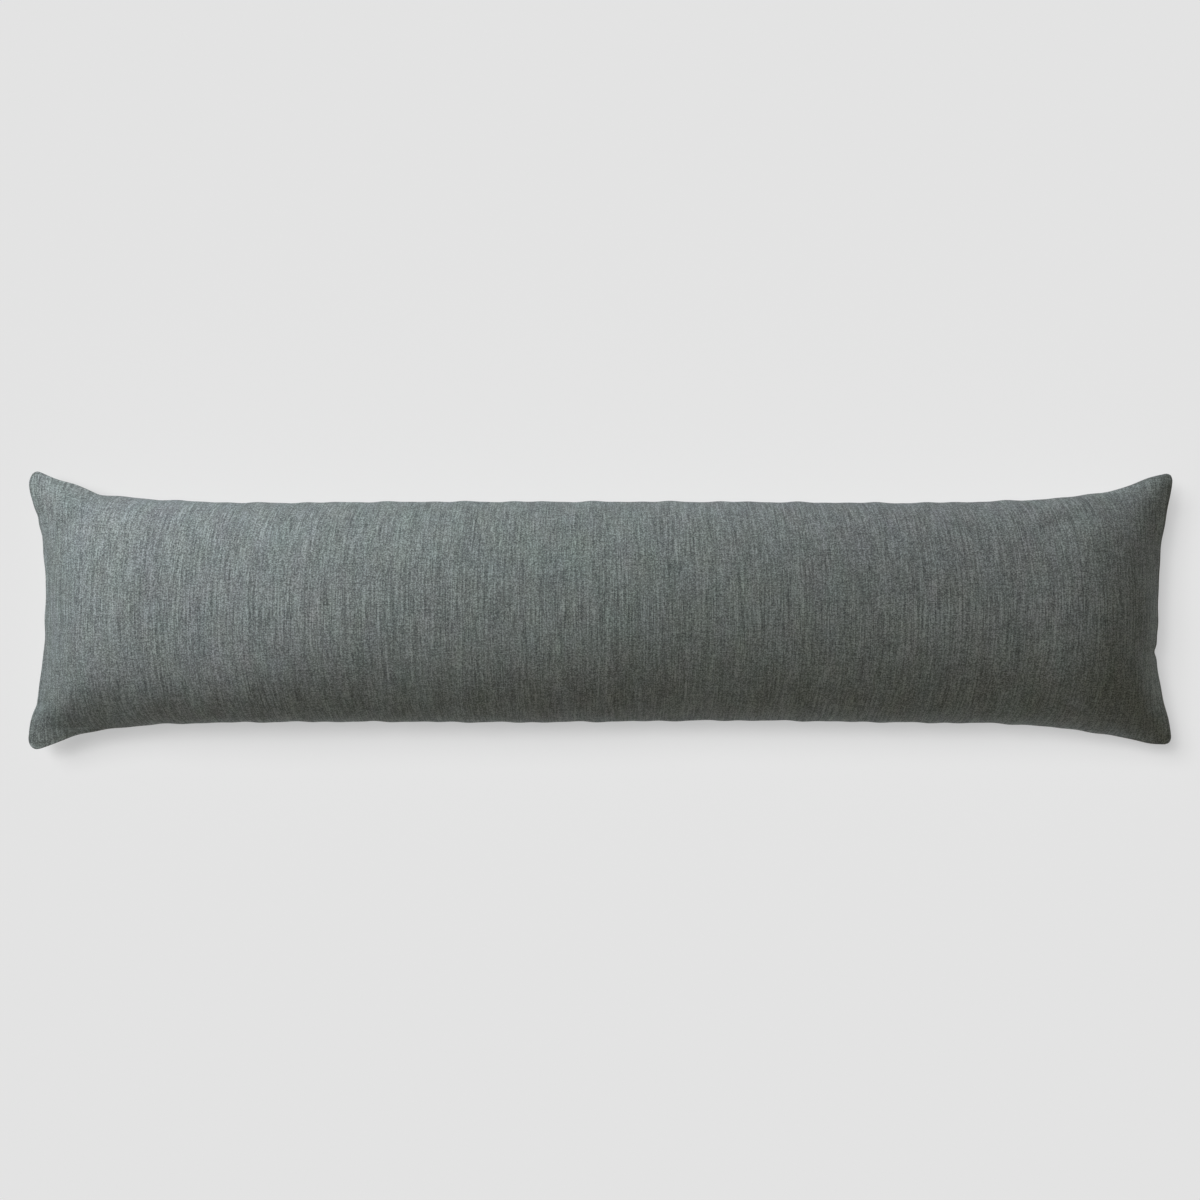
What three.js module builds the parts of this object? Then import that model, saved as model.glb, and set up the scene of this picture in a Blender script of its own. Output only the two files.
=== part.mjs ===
// A long lumbar pillow: two equal linen panels sewn edge to edge, turned and filled, lying on its back.
// Millimetres. +X runs along the pillow, +Y across it and +Z up. The origin is on the surface that the
// pillow rests on, under the middle of its bounding box.
import * as THREE from "three";

// The cover as it is cut, flat and empty.
const COVER_LENGTH = 1219;
const COVER_WIDTH = 305;
const GATHER = 0.98; // share of the cut width that is left once the seams have gathered the cloth

// The pillow as it is filled.
const FILLED_LENGTH = 1162; // from end seam to end seam, halfway across
const FILLED_WIDTH = 230; // from long seam to long seam, halfway along
const SECTION_FULLNESS = 0.6; // of the section across: 1 is a circular arc, and less is boxier
const SEAM_HEIGHT = 60; // of the long seams, above the surface
const SEAM_EDGE = 3; // thickness of the sewn edge, four layers of linen
const REST_LENGTH = 980; // of the patch that lies flat on the surface
const REST_WIDTH = 77;
const REST_SLOPE = 0.16; // how steeply the underside leaves that patch
const REST_SOFTNESS = 6; // how gradually it then rounds up towards the seams

// The ears at the corners. along and across say which corner. rise and jut are how far its tip stands out
// past the drawn-in long edge and end, and riseReach and jutReach how far from the tip each has fallen to
// half. droop is how far the tip hangs below the long seams, and tip is the side of the square that is
// rounded off at that corner of the outline.
const EARS = [
  { along: -1, across: 1, rise: 33, riseReach: 43, jut: 22, jutReach: 36, droop: 10, tip: 13 },
  { along: -1, across: -1, rise: 31, riseReach: 47, jut: 25, jutReach: 43, droop: 17, tip: 12 },
  { along: 1, across: 1, rise: 30, riseReach: 48, jut: 20, jutReach: 40, droop: 8, tip: 8 },
  { along: 1, across: -1, rise: 25, riseReach: 72, jut: 20, jutReach: 36, droop: 14, tip: 8 },
];
const EAR_SHARPNESS = 2.1; // how abruptly an ear leaves the edge that it stands out of
const EAR_THINNING = 0.5; // how much thinner than the body's section an ear runs out
const JUT_DEPTH = 70; // how far in from the end the jut of an ear reaches
const SMOOTH_EDGE = 0.25; // share of the crown below which the cloth evens out towards the seam

// Small pulls that leave the outline uneven: where they are, how far they move it and how far around them.
const PULLS = [
  { x: -597, y: 120, moveX: -2.4, moveY: 0, spread: 19 },
  { x: -555, y: 131, moveX: 0, moveY: 3.2, spread: 15 },
  { x: -527, y: 122, moveX: 0, moveY: -1.4, spread: 15 },
  { x: -370, y: 117, moveX: 0, moveY: -2.0, spread: 110 },
  { x: -582, y: 15, moveX: 1.6, moveY: 0, spread: 42 },
  { x: -600, y: -118, moveX: -1.2, moveY: 0, spread: 15 },
  { x: -90, y: -116, moveX: 0, moveY: -0.9, spread: 100 },
  { x: 150, y: -116, moveX: 0, moveY: 1.2, spread: 110 },
  { x: 330, y: 117, moveX: 0, moveY: -1.8, spread: 140 },
  { x: 420, y: -119, moveX: 0, moveY: 1.0, spread: 50 },
  { x: 584, y: -47, moveX: -2.6, moveY: 0, spread: 38 },
];

// Soft troughs where an ear leaves the body. The points are how far in from the ear's tip each trough runs,
// along the pillow and across it.
const TROUGHS = [
  { along: -1, across: 1, fromX: 46, fromY: 62, toX: 74, toY: 26, width: 11, depth: 3.0 },
  { along: -1, across: 1, fromX: 26, fromY: 40, toX: 40, toY: 96, width: 10, depth: 2.2 },
  { along: -1, across: -1, fromX: 48, fromY: 30, toX: 118, toY: 44, width: 13, depth: 3.4 },
  { along: -1, across: -1, fromX: 24, fromY: 52, toX: 34, toY: 104, width: 10, depth: 1.8 },
  { along: 1, across: 1, fromX: 60, fromY: 34, toX: 128, toY: 52, width: 14, depth: 2.4 },
  { along: 1, across: 1, fromX: 20, fromY: 46, toX: 27, toY: 100, width: 9, depth: 2.2 },
  { along: 1, across: -1, fromX: 58, fromY: 32, toX: 140, toY: 40, width: 14, depth: 2.6 },
  { along: 1, across: -1, fromX: 20, fromY: 44, toX: 30, toY: 98, width: 10, depth: 2.4 },
];

// Places where the filling has gathered or thinned under the face.
const FILL_LUMPS = [
  { x: -460, y: 12, spread: 85, height: -6 },
  { x: -345, y: -70, spread: 80, height: 7 },
  { x: -140, y: -40, spread: 85, height: 5 },
  { x: 0, y: -25, spread: 70, height: 3 },
  { x: 60, y: -100, spread: 60, height: -3 },
  { x: 100, y: 55, spread: 90, height: 5 },
  { x: 280, y: -5, spread: 85, height: -4 },
  { x: 430, y: 28, spread: 85, height: -5 },
  { x: 540, y: -40, spread: 75, height: 5 },
];

// Small gathers that the stitching leaves beside the seams.
const GATHER_PITCH = 47;
const GATHER_DRIFT = 0.9; // how unevenly they are spaced, in radians
const GATHER_DRIFT_PITCH = 181;
const GATHER_HEIGHT = 1.3;
const GATHER_REACH = 26; // how far in from the seam they fade to a third

// The mesh of each panel. Its steps are closer together towards the seams.
const STEPS_ALONG = 88;
const STEPS_ACROSS = 24;
const CROWDING_ALONG = 0.45;
const CROWDING_ACROSS = 0.5;

const LINEN_COLOUR = 0x6f7876;

const halfLength = FILLED_LENGTH / 2;
const halfWidth = FILLED_WIDTH / 2;

// The value between low and high at which a falling function reaches zero.
function root(falling, low, high) {
  const HALVINGS = 50;
  for (let i = 0; i < HALVINGS; i++) {
    const middle = (low + high) / 2;
    if (falling(middle) > 0) low = middle;
    else high = middle;
  }
  return (low + high) / 2;
}

// Height of a circular arc, from 0 at its foot (share 0) to 1 where it is level (share 1 and beyond).
function arcRise(share, angle) {
  const out = (1 - Math.min(1, share)) * Math.sin(angle);
  return Math.max(0, Math.sqrt(1 - out * out) - Math.cos(angle)) / (1 - Math.cos(angle));
}

// Across the width a panel stands in a circular arc that is made boxier and then lowered, until its section
// is again as long as the gathered cloth is wide.
const clothWidth = COVER_WIDTH * GATHER;
const sectionAngle = root((angle) => clothWidth - (FILLED_WIDTH * angle) / Math.sin(angle), 0.1, 1.5);
const sectionRise = (share) => arcRise(share, sectionAngle) ** SECTION_FULLNESS;

function sectionLength(height) {
  const STEPS = 400;
  let length = 0;
  for (let i = 0; i < STEPS; i++) {
    const climb = height * (sectionRise((i + 1) / STEPS) - sectionRise(i / STEPS));
    length += 2 * Math.hypot(halfWidth / STEPS, climb);
  }
  return length;
}
const crown = root((height) => clothWidth - sectionLength(height), 0, clothWidth);

// Along the middle, the cloth that is left over between the cover's length and the filled one lies in an
// arc at each end. A shorter arc of the same height takes up more cloth.
function clothTakenUp(run) {
  const angle = 2 * Math.atan(crown / run);
  return (run * angle) / Math.sin(angle) - run;
}
const endRun = root((run) => clothTakenUp(run) - (COVER_LENGTH - FILLED_LENGTH) / 2, crown, halfLength);
const endAngle = 2 * Math.atan(crown / endRun);

// Falls from 1 to a half over the reach, and on towards 0.
function bell(distance, reach) {
  return 1 / (1 + (Math.max(0, distance) / reach) ** EAR_SHARPNESS);
}

// What the four ears add at a point: how far it moves along and across, how far it droops, and how far across
// the edge on its own side has moved.
function earsAt(x, y) {
  const moved = { x: 0, y: 0, droop: 0, edge: 0 };
  for (const ear of EARS) {
    const fromEnd = halfLength - ear.along * x;
    const fromSide = halfWidth - ear.across * y;
    const nearEnd = bell(fromEnd, ear.riseReach);
    const nearSide = bell(fromSide, ear.jutReach);
    const sideShare = Math.max(0, (ear.across * y) / halfWidth);
    moved.x += ear.along * ear.jut * nearSide * bell(fromEnd, JUT_DEPTH);
    moved.y += ear.across * ear.rise * nearEnd * sideShare;
    moved.droop += ear.droop * nearEnd * nearSide;
    if (sideShare > 0) moved.edge += ear.rise * nearEnd;
  }
  return moved;
}

// Rounds off the corners of the outline: each corner square becomes a quarter of a disc.
function roundedPlan(x, y) {
  const { tip } = EARS.find((ear) => ear.along * x >= 0 && ear.across * y >= 0);
  const a = (Math.abs(x) - halfLength + tip) / tip;
  const b = (Math.abs(y) - halfWidth + tip) / tip;
  if (a <= 0 || b <= 0) return [x, y];
  const roundX = a * Math.sqrt(1 - (b * b) / 2);
  const roundY = b * Math.sqrt(1 - (a * a) / 2);
  return [
    Math.sign(x) * (halfLength - tip * (1 - roundX)),
    Math.sign(y) * (halfWidth - tip * (1 - roundY)),
  ];
}

// Where a point of the filled plan lies once the small pulls have moved it.
function pulledPlan(x, y) {
  const pulled = [x, y];
  for (const pull of PULLS) {
    const near = Math.exp(-((x - pull.x) ** 2 + (y - pull.y) ** 2) / pull.spread ** 2);
    pulled[0] += pull.moveX * near;
    pulled[1] += pull.moveY * near;
  }
  return pulled;
}

// Depth of the troughs at a point of the filled plan.
function troughDepth(x, y) {
  let depth = 0;
  for (const trough of TROUGHS) {
    const ear = EARS.find((e) => e.along === trough.along && e.across === trough.across);
    const inX = halfLength + ear.jut - trough.along * x;
    const inY = halfWidth + ear.rise - trough.across * y;
    const from = new THREE.Vector2(trough.fromX, trough.fromY);
    const run = new THREE.Vector2(trough.toX, trough.toY).sub(from);
    const offset = new THREE.Vector2(inX, inY).sub(from);
    const share = THREE.MathUtils.clamp(offset.dot(run) / run.lengthSq(), 0, 1);
    const away = offset.sub(run.multiplyScalar(share)).length();
    depth += trough.depth * Math.exp(-((away / trough.width) ** 2));
  }
  return depth;
}

// Height of the lumps under the face. The back is pressed even by the surface that it rests on.
function lumpHeight(x, y, face) {
  let height = 0;
  if (face < 0) return height;
  for (const lump of FILL_LUMPS) {
    height += lump.height * Math.exp(-((x - lump.x) ** 2 + (y - lump.y) ** 2) / lump.spread ** 2);
  }
  return height;
}

// Height of the small gathers beside the long seams.
function gatherHeight(x, y, face) {
  const drift = GATHER_DRIFT * Math.sin((2 * Math.PI * x) / GATHER_DRIFT_PITCH + face);
  const wave = Math.sin((2 * Math.PI * x) / GATHER_PITCH + drift + Math.sign(y));
  return GATHER_HEIGHT * wave * Math.exp(-(halfWidth - Math.abs(y)) / GATHER_REACH);
}

// Presses what would reach below the surface flat onto it, and what is beside the flat patch nearly so.
function restingHeight(x, y, z) {
  const outX = Math.max(0, Math.abs(x) - REST_LENGTH / 2);
  const outY = Math.max(0, Math.abs(y) - REST_WIDTH / 2);
  const lowest = REST_SLOPE * Math.hypot(outX, outY);
  const above = z - lowest;
  if (above >= REST_SOFTNESS) return z;
  if (above <= -REST_SOFTNESS) return lowest;
  return lowest + (above + REST_SOFTNESS) ** 2 / (4 * REST_SOFTNESS);
}

// A point of the face (1) or the back (-1), for shares along and across from -1 to 1.
function panelPoint(along, across, face) {
  const x = along * halfLength;
  const y = (halfWidth * Math.sin(across * sectionAngle)) / Math.sin(sectionAngle);
  const ears = earsAt(x, y);
  const [roundX, roundY] = roundedPlan(x, y);
  const [planX, planY] = pulledPlan(roundX + ears.x, roundY + ears.y);
  const endShare = (halfLength - Math.abs(x)) / endRun;
  const sideShare = 1 - Math.abs(y) / halfWidth;
  const thinning = 1 + EAR_THINNING * Math.min(1, ears.edge / EARS[0].rise);
  const body = arcRise(endShare, endAngle) * sectionRise(sideShare) ** thinning;
  const onBody = Math.min(1, body / SMOOTH_EDGE);
  const uneven = lumpHeight(x, y, face) - troughDepth(planX, planY) + gatherHeight(x, y, face);
  const seam = SEAM_HEIGHT - ears.droop;
  const z = seam + face * (SEAM_EDGE / 2 + crown * body + uneven * onBody);
  return new THREE.Vector3(planX, planY, restingHeight(x, y, z));
}

// Shares from -1 to 1, crowded towards both ends.
function crowdedSteps(count, crowding) {
  return Array.from({ length: count + 1 }, (_, i) => {
    const even = (2 * i) / count - 1;
    return even + (crowding / Math.PI) * Math.sin(Math.PI * even);
  });
}

// The closed surface of the pillow: the face, the back and the narrow sewn edge between them.
function pillowGeometry() {
  const alongShares = crowdedSteps(STEPS_ALONG, CROWDING_ALONG);
  const acrossShares = crowdedSteps(STEPS_ACROSS, CROWDING_ACROSS);
  const row = STEPS_ACROSS + 1;
  const panelPoints = row * (STEPS_ALONG + 1);
  const points = [];
  for (const face of [1, -1]) {
    for (const along of alongShares) {
      for (const across of acrossShares) points.push(panelPoint(along, across, face));
    }
  }

  const triangles = [];
  // Two triangles over four corners in order, split along the shorter diagonal.
  const addQuad = (a, b, c, d) => {
    const splitAC = points[a].distanceTo(points[c]) <= points[b].distanceTo(points[d]);
    triangles.push(...(splitAC ? [a, b, c, a, c, d] : [b, c, d, b, d, a]));
  };
  for (let i = 0; i < STEPS_ALONG; i++) {
    for (let j = 0; j < STEPS_ACROSS; j++) {
      const a = i * row + j;
      addQuad(a, a + row, a + row + 1, a + 1);
      const back = panelPoints + a;
      addQuad(back, back + 1, back + row + 1, back + row);
    }
  }

  const rim = [];
  for (let i = 0; i < STEPS_ALONG; i++) rim.push(i * row);
  for (let j = 0; j < STEPS_ACROSS; j++) rim.push(STEPS_ALONG * row + j);
  for (let i = STEPS_ALONG; i > 0; i--) rim.push(i * row + STEPS_ACROSS);
  for (let j = STEPS_ACROSS; j > 0; j--) rim.push(j);
  rim.forEach((here, k) => {
    const next = rim[(k + 1) % rim.length];
    addQuad(here, panelPoints + here, panelPoints + next, next);
  });

  const geometry = new THREE.BufferGeometry().setFromPoints(points).setIndex(triangles);
  geometry.computeBoundingBox();
  const centre = geometry.boundingBox.getCenter(new THREE.Vector3());
  geometry.translate(-centre.x, -centre.y, 0);
  geometry.computeVertexNormals();
  return geometry;
}

const linen = new THREE.MeshStandardMaterial({ color: LINEN_COLOUR, roughness: 0.92, metalness: 0 });
const pillow = new THREE.Mesh(pillowGeometry(), linen);
pillow.name = "filled_cover";

const lumbarPillow = new THREE.Group();
lumbarPillow.add(pillow);

export default lumbarPillow;
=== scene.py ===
"""A long lumbar pillow in slubbed linen, lying on its back on a pale floor.

The cover is two equal panels sewn edge to edge. Its seam is laid out from the sizes below, the filled cloth
is settled by a cloth simulation held at the seam, and the rolled edge, the stitches and the thick places in
the yarn are then made on top of it. Metres: +X runs along the pillow, +Y across it and +Z up.
"""

import math
from collections import namedtuple

import bpy
import numpy as np
from bpy.props import FloatProperty, FloatVectorProperty, IntProperty, PointerProperty
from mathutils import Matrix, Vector


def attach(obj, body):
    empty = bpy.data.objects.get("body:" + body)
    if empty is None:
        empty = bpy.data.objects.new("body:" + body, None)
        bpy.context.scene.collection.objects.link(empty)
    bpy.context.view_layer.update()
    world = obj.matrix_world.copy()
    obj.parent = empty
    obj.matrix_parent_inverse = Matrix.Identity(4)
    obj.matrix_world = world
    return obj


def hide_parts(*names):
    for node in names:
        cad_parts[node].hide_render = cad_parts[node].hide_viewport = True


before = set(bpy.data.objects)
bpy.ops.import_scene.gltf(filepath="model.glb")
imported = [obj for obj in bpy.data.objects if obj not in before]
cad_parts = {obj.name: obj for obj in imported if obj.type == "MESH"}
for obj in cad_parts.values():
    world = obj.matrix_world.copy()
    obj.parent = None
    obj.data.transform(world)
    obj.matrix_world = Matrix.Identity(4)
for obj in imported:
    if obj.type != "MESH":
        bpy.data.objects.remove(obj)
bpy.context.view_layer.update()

bl_info = {
    "name": "Lumbar Pillow",
    "version": (1, 0, 0),
    "blender": (4, 5, 0),
    "location": "3D View > Sidebar > Pillow",
    "description": "Builds a long linen lumbar pillow, its seam and its slubs, and a stage to show it on",
    "category": "Object",
}

BODY = "root"
COVER_NODE = "filled_cover"
COVER = "linen_cover"
STITCHES = "seam_stitches"
SLUBS = "yarn_slubs"
MM = 0.001

# Maps that the meshes carry: the place on the flat cloth, the way of the weft, the points in the groove of
# the seam, the way out of it, the tone of each slub and the map that the materials are baked to.
CLOTH = "cloth"
WEFT = "weft"
GROOVE = "groove"
WAY_OUT = "way_out"
SLUB_TONE = "slub_tone"
BAKE_MAP = "OFBake"
BAKE_EDGE = 0.01  # margin around each panel in the bake map
CELL_RADIUS = 0.4  # how much of its own square of the bake map a small face fills

# The corners of the pillow, in the order in which the ear sizes list them: along X, then across Y.
CORNERS = ((-1, 1), (-1, -1), (1, 1), (1, -1))

# Small pulls that leave the outline uneven: where they are, how far they move it and how far around them.
# Millimetres.
Pull = namedtuple("Pull", "x y move_x move_y spread")
PULLS = (
    Pull(-597, 120, -2.4, 0, 19),
    Pull(-555, 131, 0, 3.2, 15),
    Pull(-527, 122, 0, -1.4, 15),
    Pull(-370, 117, 0, -2.0, 110),
    Pull(-582, 15, 1.6, 0, 42),
    Pull(-600, -118, -1.2, 0, 15),
    Pull(-90, -116, 0, -0.9, 100),
    Pull(150, -116, 0, 1.2, 110),
    Pull(330, 117, 0, -1.8, 140),
    Pull(420, -119, 0, 1.0, 50),
    Pull(584, -47, -2.6, 0, 38),
)
# Tighter ones, where a stitch has caught the seam.
CAUGHT_STITCHES = (
    Pull(-526, 122, 0, -0.6, 7),
    Pull(-588.5, 100, 2.0, 0, 7),
    Pull(-592, -100, 0.9, 0, 5),
    Pull(584, -43.5, -2.2, 0, 5),
    Pull(586, -34, 0.6, 0, 7),
)
# Slow waves of the seam line, in and out. Millimetres.
SeamWave = namedtuple("SeamWave", "pitch height reach")
SEAM_WAVES = (SeamWave(71, 0.35, 14), SeamWave(43, 0.3, 10), SeamWave(27, 0.22, 8))
SIDE_PHASE = 2  # keeps the waves of opposite edges out of step

# How far the seam is turned up towards the face: a slow drift all around, more at the right end and most just
# below the upper left ear. Radians and metres.
SeamTurn = namedtuple(
    "SeamTurn", "drift slant first_pitch second_pitch at_end end_reach end_blend at_ear ear_y ear_x_spread"
    " ear_y_spread")
SEAM_TURN = SeamTurn(
    drift=0.22, slant=1.7, first_pitch=0.213, second_pitch=0.137, at_end=0.75, end_reach=0.03,
    end_blend=0.008, at_ear=0.9, ear_y=0.098, ear_x_spread=0.03, ear_y_spread=0.02)

# Soft troughs where an ear leaves the body, for one corner each. The points are how far in from the ear's tip
# a trough runs, along the pillow and across it. Millimetres.
Trough = namedtuple("Trough", "corner from_x from_y to_x to_y width depth")
TROUGHS = (
    Trough(0, 46, 62, 74, 26, 11, 3.0),
    Trough(0, 26, 40, 40, 96, 10, 2.2),
    Trough(1, 34, 16, 88, 36, 22, 10.0),
    Trough(1, 24, 52, 34, 104, 10, 1.8),
    Trough(2, 60, 34, 128, 52, 14, 2.4),
    Trough(2, 20, 46, 27, 100, 9, 2.2),
    Trough(3, 58, 32, 140, 40, 14, 2.6),
    Trough(3, 20, 44, 30, 98, 10, 2.4),
)

# Narrow folds in the face beside the seam, from point to point. A negative depth is a ridge. Millimetres.
Fold = namedtuple("Fold", "from_x from_y to_x to_y width depth")
FOLDS = (
    Fold(-592, 130, -590, 103, 4.0, 1.6),
    Fold(-524, 120, -518, 98, 8.0, 1.8),
    Fold(-591, -100, -578, -96, 3.5, 1.1),
    Fold(582, -43.5, 560, -41, 3.5, 1.2),
    Fold(583, -50, 566, -53, 4.0, -0.6),
)

# Places where the filling has gathered or thinned under the face. Millimetres.
Lump = namedtuple("Lump", "x y spread height")
FILL_LUMPS = (
    Lump(-460, 12, 85, -6.0),
    Lump(-345, -70, 80, 7.0),
    Lump(-140, -40, 85, 5.0),
    Lump(0, -25, 70, 3.0),
    Lump(60, -100, 60, -3.0),
    Lump(100, 55, 90, 5.0),
    Lump(280, -5, 85, -4.0),
    Lump(430, 28, 85, -5.0),
    Lump(540, -40, 75, 5.0),
)

# Waves of the cloth beside the seams: the large gathers reach further in than the fine ones. Millimetres.
Gather = namedtuple("Gather", "pitch drift drift_pitch height reach")
LARGE_GATHERS = Gather(pitch=47, drift=0.9, drift_pitch=181, height=1.3, reach=26)
FINE_GATHERS = (
    Gather(pitch=23, drift=1.3, drift_pitch=97, height=0.35, reach=11),
    Gather(pitch=13.7, drift=1.1, drift_pitch=61, height=0.2, reach=7),
)
SEAM_FADE = 2  # how far in from the seam the fine gathers and the folds begin. Millimetres.
SMOOTH_EDGE = 0.25  # share of the crown below which the cloth evens out towards the seam
WEFT_BOW = 0.9  # how gradually the weft, held back at the seams, runs on over the crown

# The uneven tone of the yarns: streaks of that length along a yarn, and how strong they are. Millimetres.
Streak = namedtuple("Streak", "name length gain")
WEFT_STREAKS = (
    Streak("Short weft streaks", 12, 0.85),
    Streak("Weft streaks", 24, 0.7),
    Streak("Long weft streaks", 60, 0.6),
)
WARP_STREAKS = (
    Streak("Warp streaks", 22, 0.52),
)
# Tones that don't follow single yarns: the size of their patches along and across. Millimetres.
ToneField = namedtuple("ToneField", "name along across gain")
TONE_FIELDS = (
    ToneField("Fibre grain", 1.4, 1.4, 1.3),
    ToneField("Weft lines", 1.6, 26, 0.45),
)
# Slow drifts of the yarns' places and of the dye: the size of their patches along and across, and how much
# finer detail they have. Millimetres.
Drift = namedtuple("Drift", "name along across detail")
WEFT_WANDER = Drift("Weft wander", 9, 60, 1.0)
WARP_WANDER = Drift("Warp wander", 60, 9, 1.0)
DYE_DRIFT = Drift("Dye drift", 28, 34, 1.0)
FADE_DRIFT = Drift("Fade drift", 17, 45, 1.0)
WIDE_FADE = Drift("Wide fade", 260, 200, 0.0)
WIDE_FADE_LAYER = 54.0  # which of its chance arrangements the wide fade has
WIDE_FADE_GAIN = 0.5
LAYER_STEP = 7.3  # keeps the tones of the two panels apart
YARN_STEP = 7.31  # keeps the tones of neighbouring yarns apart
MIDDLE = 0.5  # the middle of a noise, and of the yarns' tones
WEAVE_REPEAT = 2.0  # a plain weave repeats after two yarns
WEFT_SHOWS = 0.3  # how much of the yarn below shows at a crossing
BEAD_DIP = 0.4  # how far a yarn dips between those that it crosses
PAINTED_GAP_SHADE = 0.16  # painted shade: the tone is painted darker in the gaps between the yarns
THICK_RELIEF = 0.4  # how far the paler, thicker places of a yarn stand out
RELIEF_HEIGHT = 0.25  # depth of the weave, as a share of the distance between yarns
YARN_ROUGHNESS = 0.16  # by how much the roughness differs from yarn to yarn
YARN_SPECULAR = 0.25
SHEEN_ROUGHNESS = 0.5
SHEEN_TINT = (0.85, 0.95, 1.0, 1.0)

# The sewing thread: its strands to the metre, their darkest and palest tone as shares of its colour, and its
# gloss.
STRAND_SCALE = 2500.0
STRAND_TONES = (0.6, 1.5)
THREAD_ROUGHNESS = 0.7
STRAND_ROUGHNESS = 0.2  # by how much the roughness differs between strands
THREAD_SPECULAR = 0.3
STITCH_SIDES = 6
STITCH_RINGS = 5

# The slubs: their fibres to the metre, how much these differ in tone and roughness, and the slubs' shape.
FIBRE_SCALE = 1400.0
FIBRE_TONE = 0.5
FIBRE_ROUGHNESS = 0.1
SLUB_TONES = (0.1, 0.95)  # the darkest and the palest
SLUB_SIDES = 5
SLUB_POINTS = 6  # bends along each slub
SLUB_END = 0.25  # thickness of a slub's ends, as a share of its middle
ARCH_PEAK = 0.25  # one half of a slub times the other
SLUB_CLEARANCE = 0.004  # height above the floor under which no slub begins. Metres.

# Numbers of the sockets that can't be told apart by name.
MIX_FACTOR, MIX_FIRST, MIX_SECOND, MIX_RESULT = 0, 6, 7, 2
RANDOM_LOW, RANDOM_HIGH, RANDOM_FLOAT = 2, 3, 1

# The studio's lamps. Some light the pillow and some the floor, so that the floor is even but for a short
# shadow. Metres, watts and degrees.
Lamp = namedtuple("Lamp", "name place width height power colour")
PILLOW_LAMPS = (
    Lamp("key", (-0.91, 0.47, 0.85), 0.58, 0.58, 8.83, (0.851, 0.914, 1.0)),
    Lamp("softbox", (-0.64, 3.38, 2.09), 1.8, 1.8, 61.2, (0.847, 0.89, 1.0)),
    Lamp("overhead", (0.0, 0.0, 4.2), 4.0, 4.0, 28.4, (1.0, 0.843, 0.573)),
)
Sun = namedtuple("Sun", "name lean_x lean_y spread strength")
FLOOR_SUNS = (
    Sun("high_sun", 16, 10, 20, 1.45),
    Sun("low_sun", 29, 21, 26, 1.25),
)
FLOOR_SIZE = 12.0
FLOOR_GAP = 0.0002  # keeps the floor and the pillow's flat patch apart
PICTURE_PIXELS = 1200
SENSOR_WIDTH = 36.0  # millimetres

# The steps of each panel's mesh for the simulation. The finished mesh has twice as many.
STEPS_ALONG = 204
STEPS_ACROSS = 52
ROLL_STEPS = 5  # steps around each of the two rolled edges at the seam
SECTION_STEPS = 400  # steps in which the section's length is measured
SECTION_ANGLES = (0.1, 1.5)  # bounds of the angle at which the section's arc meets the seam. Radians.
HALVINGS = 50  # how often the range of a value that is looked for is halved
SHEAR_SHARE = 0.25  # resistance of the linen to shearing, as a share of that to stretching
AIR_DAMPING = 4.0
SETTLING_QUALITY = 6
LEAST_MOVE = 1e-9  # these three keep a length that is divided by from being nothing. Metres.
LEAST_LENGTH = 1e-12
LEAST_OUTWARD = 1e-6


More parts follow.
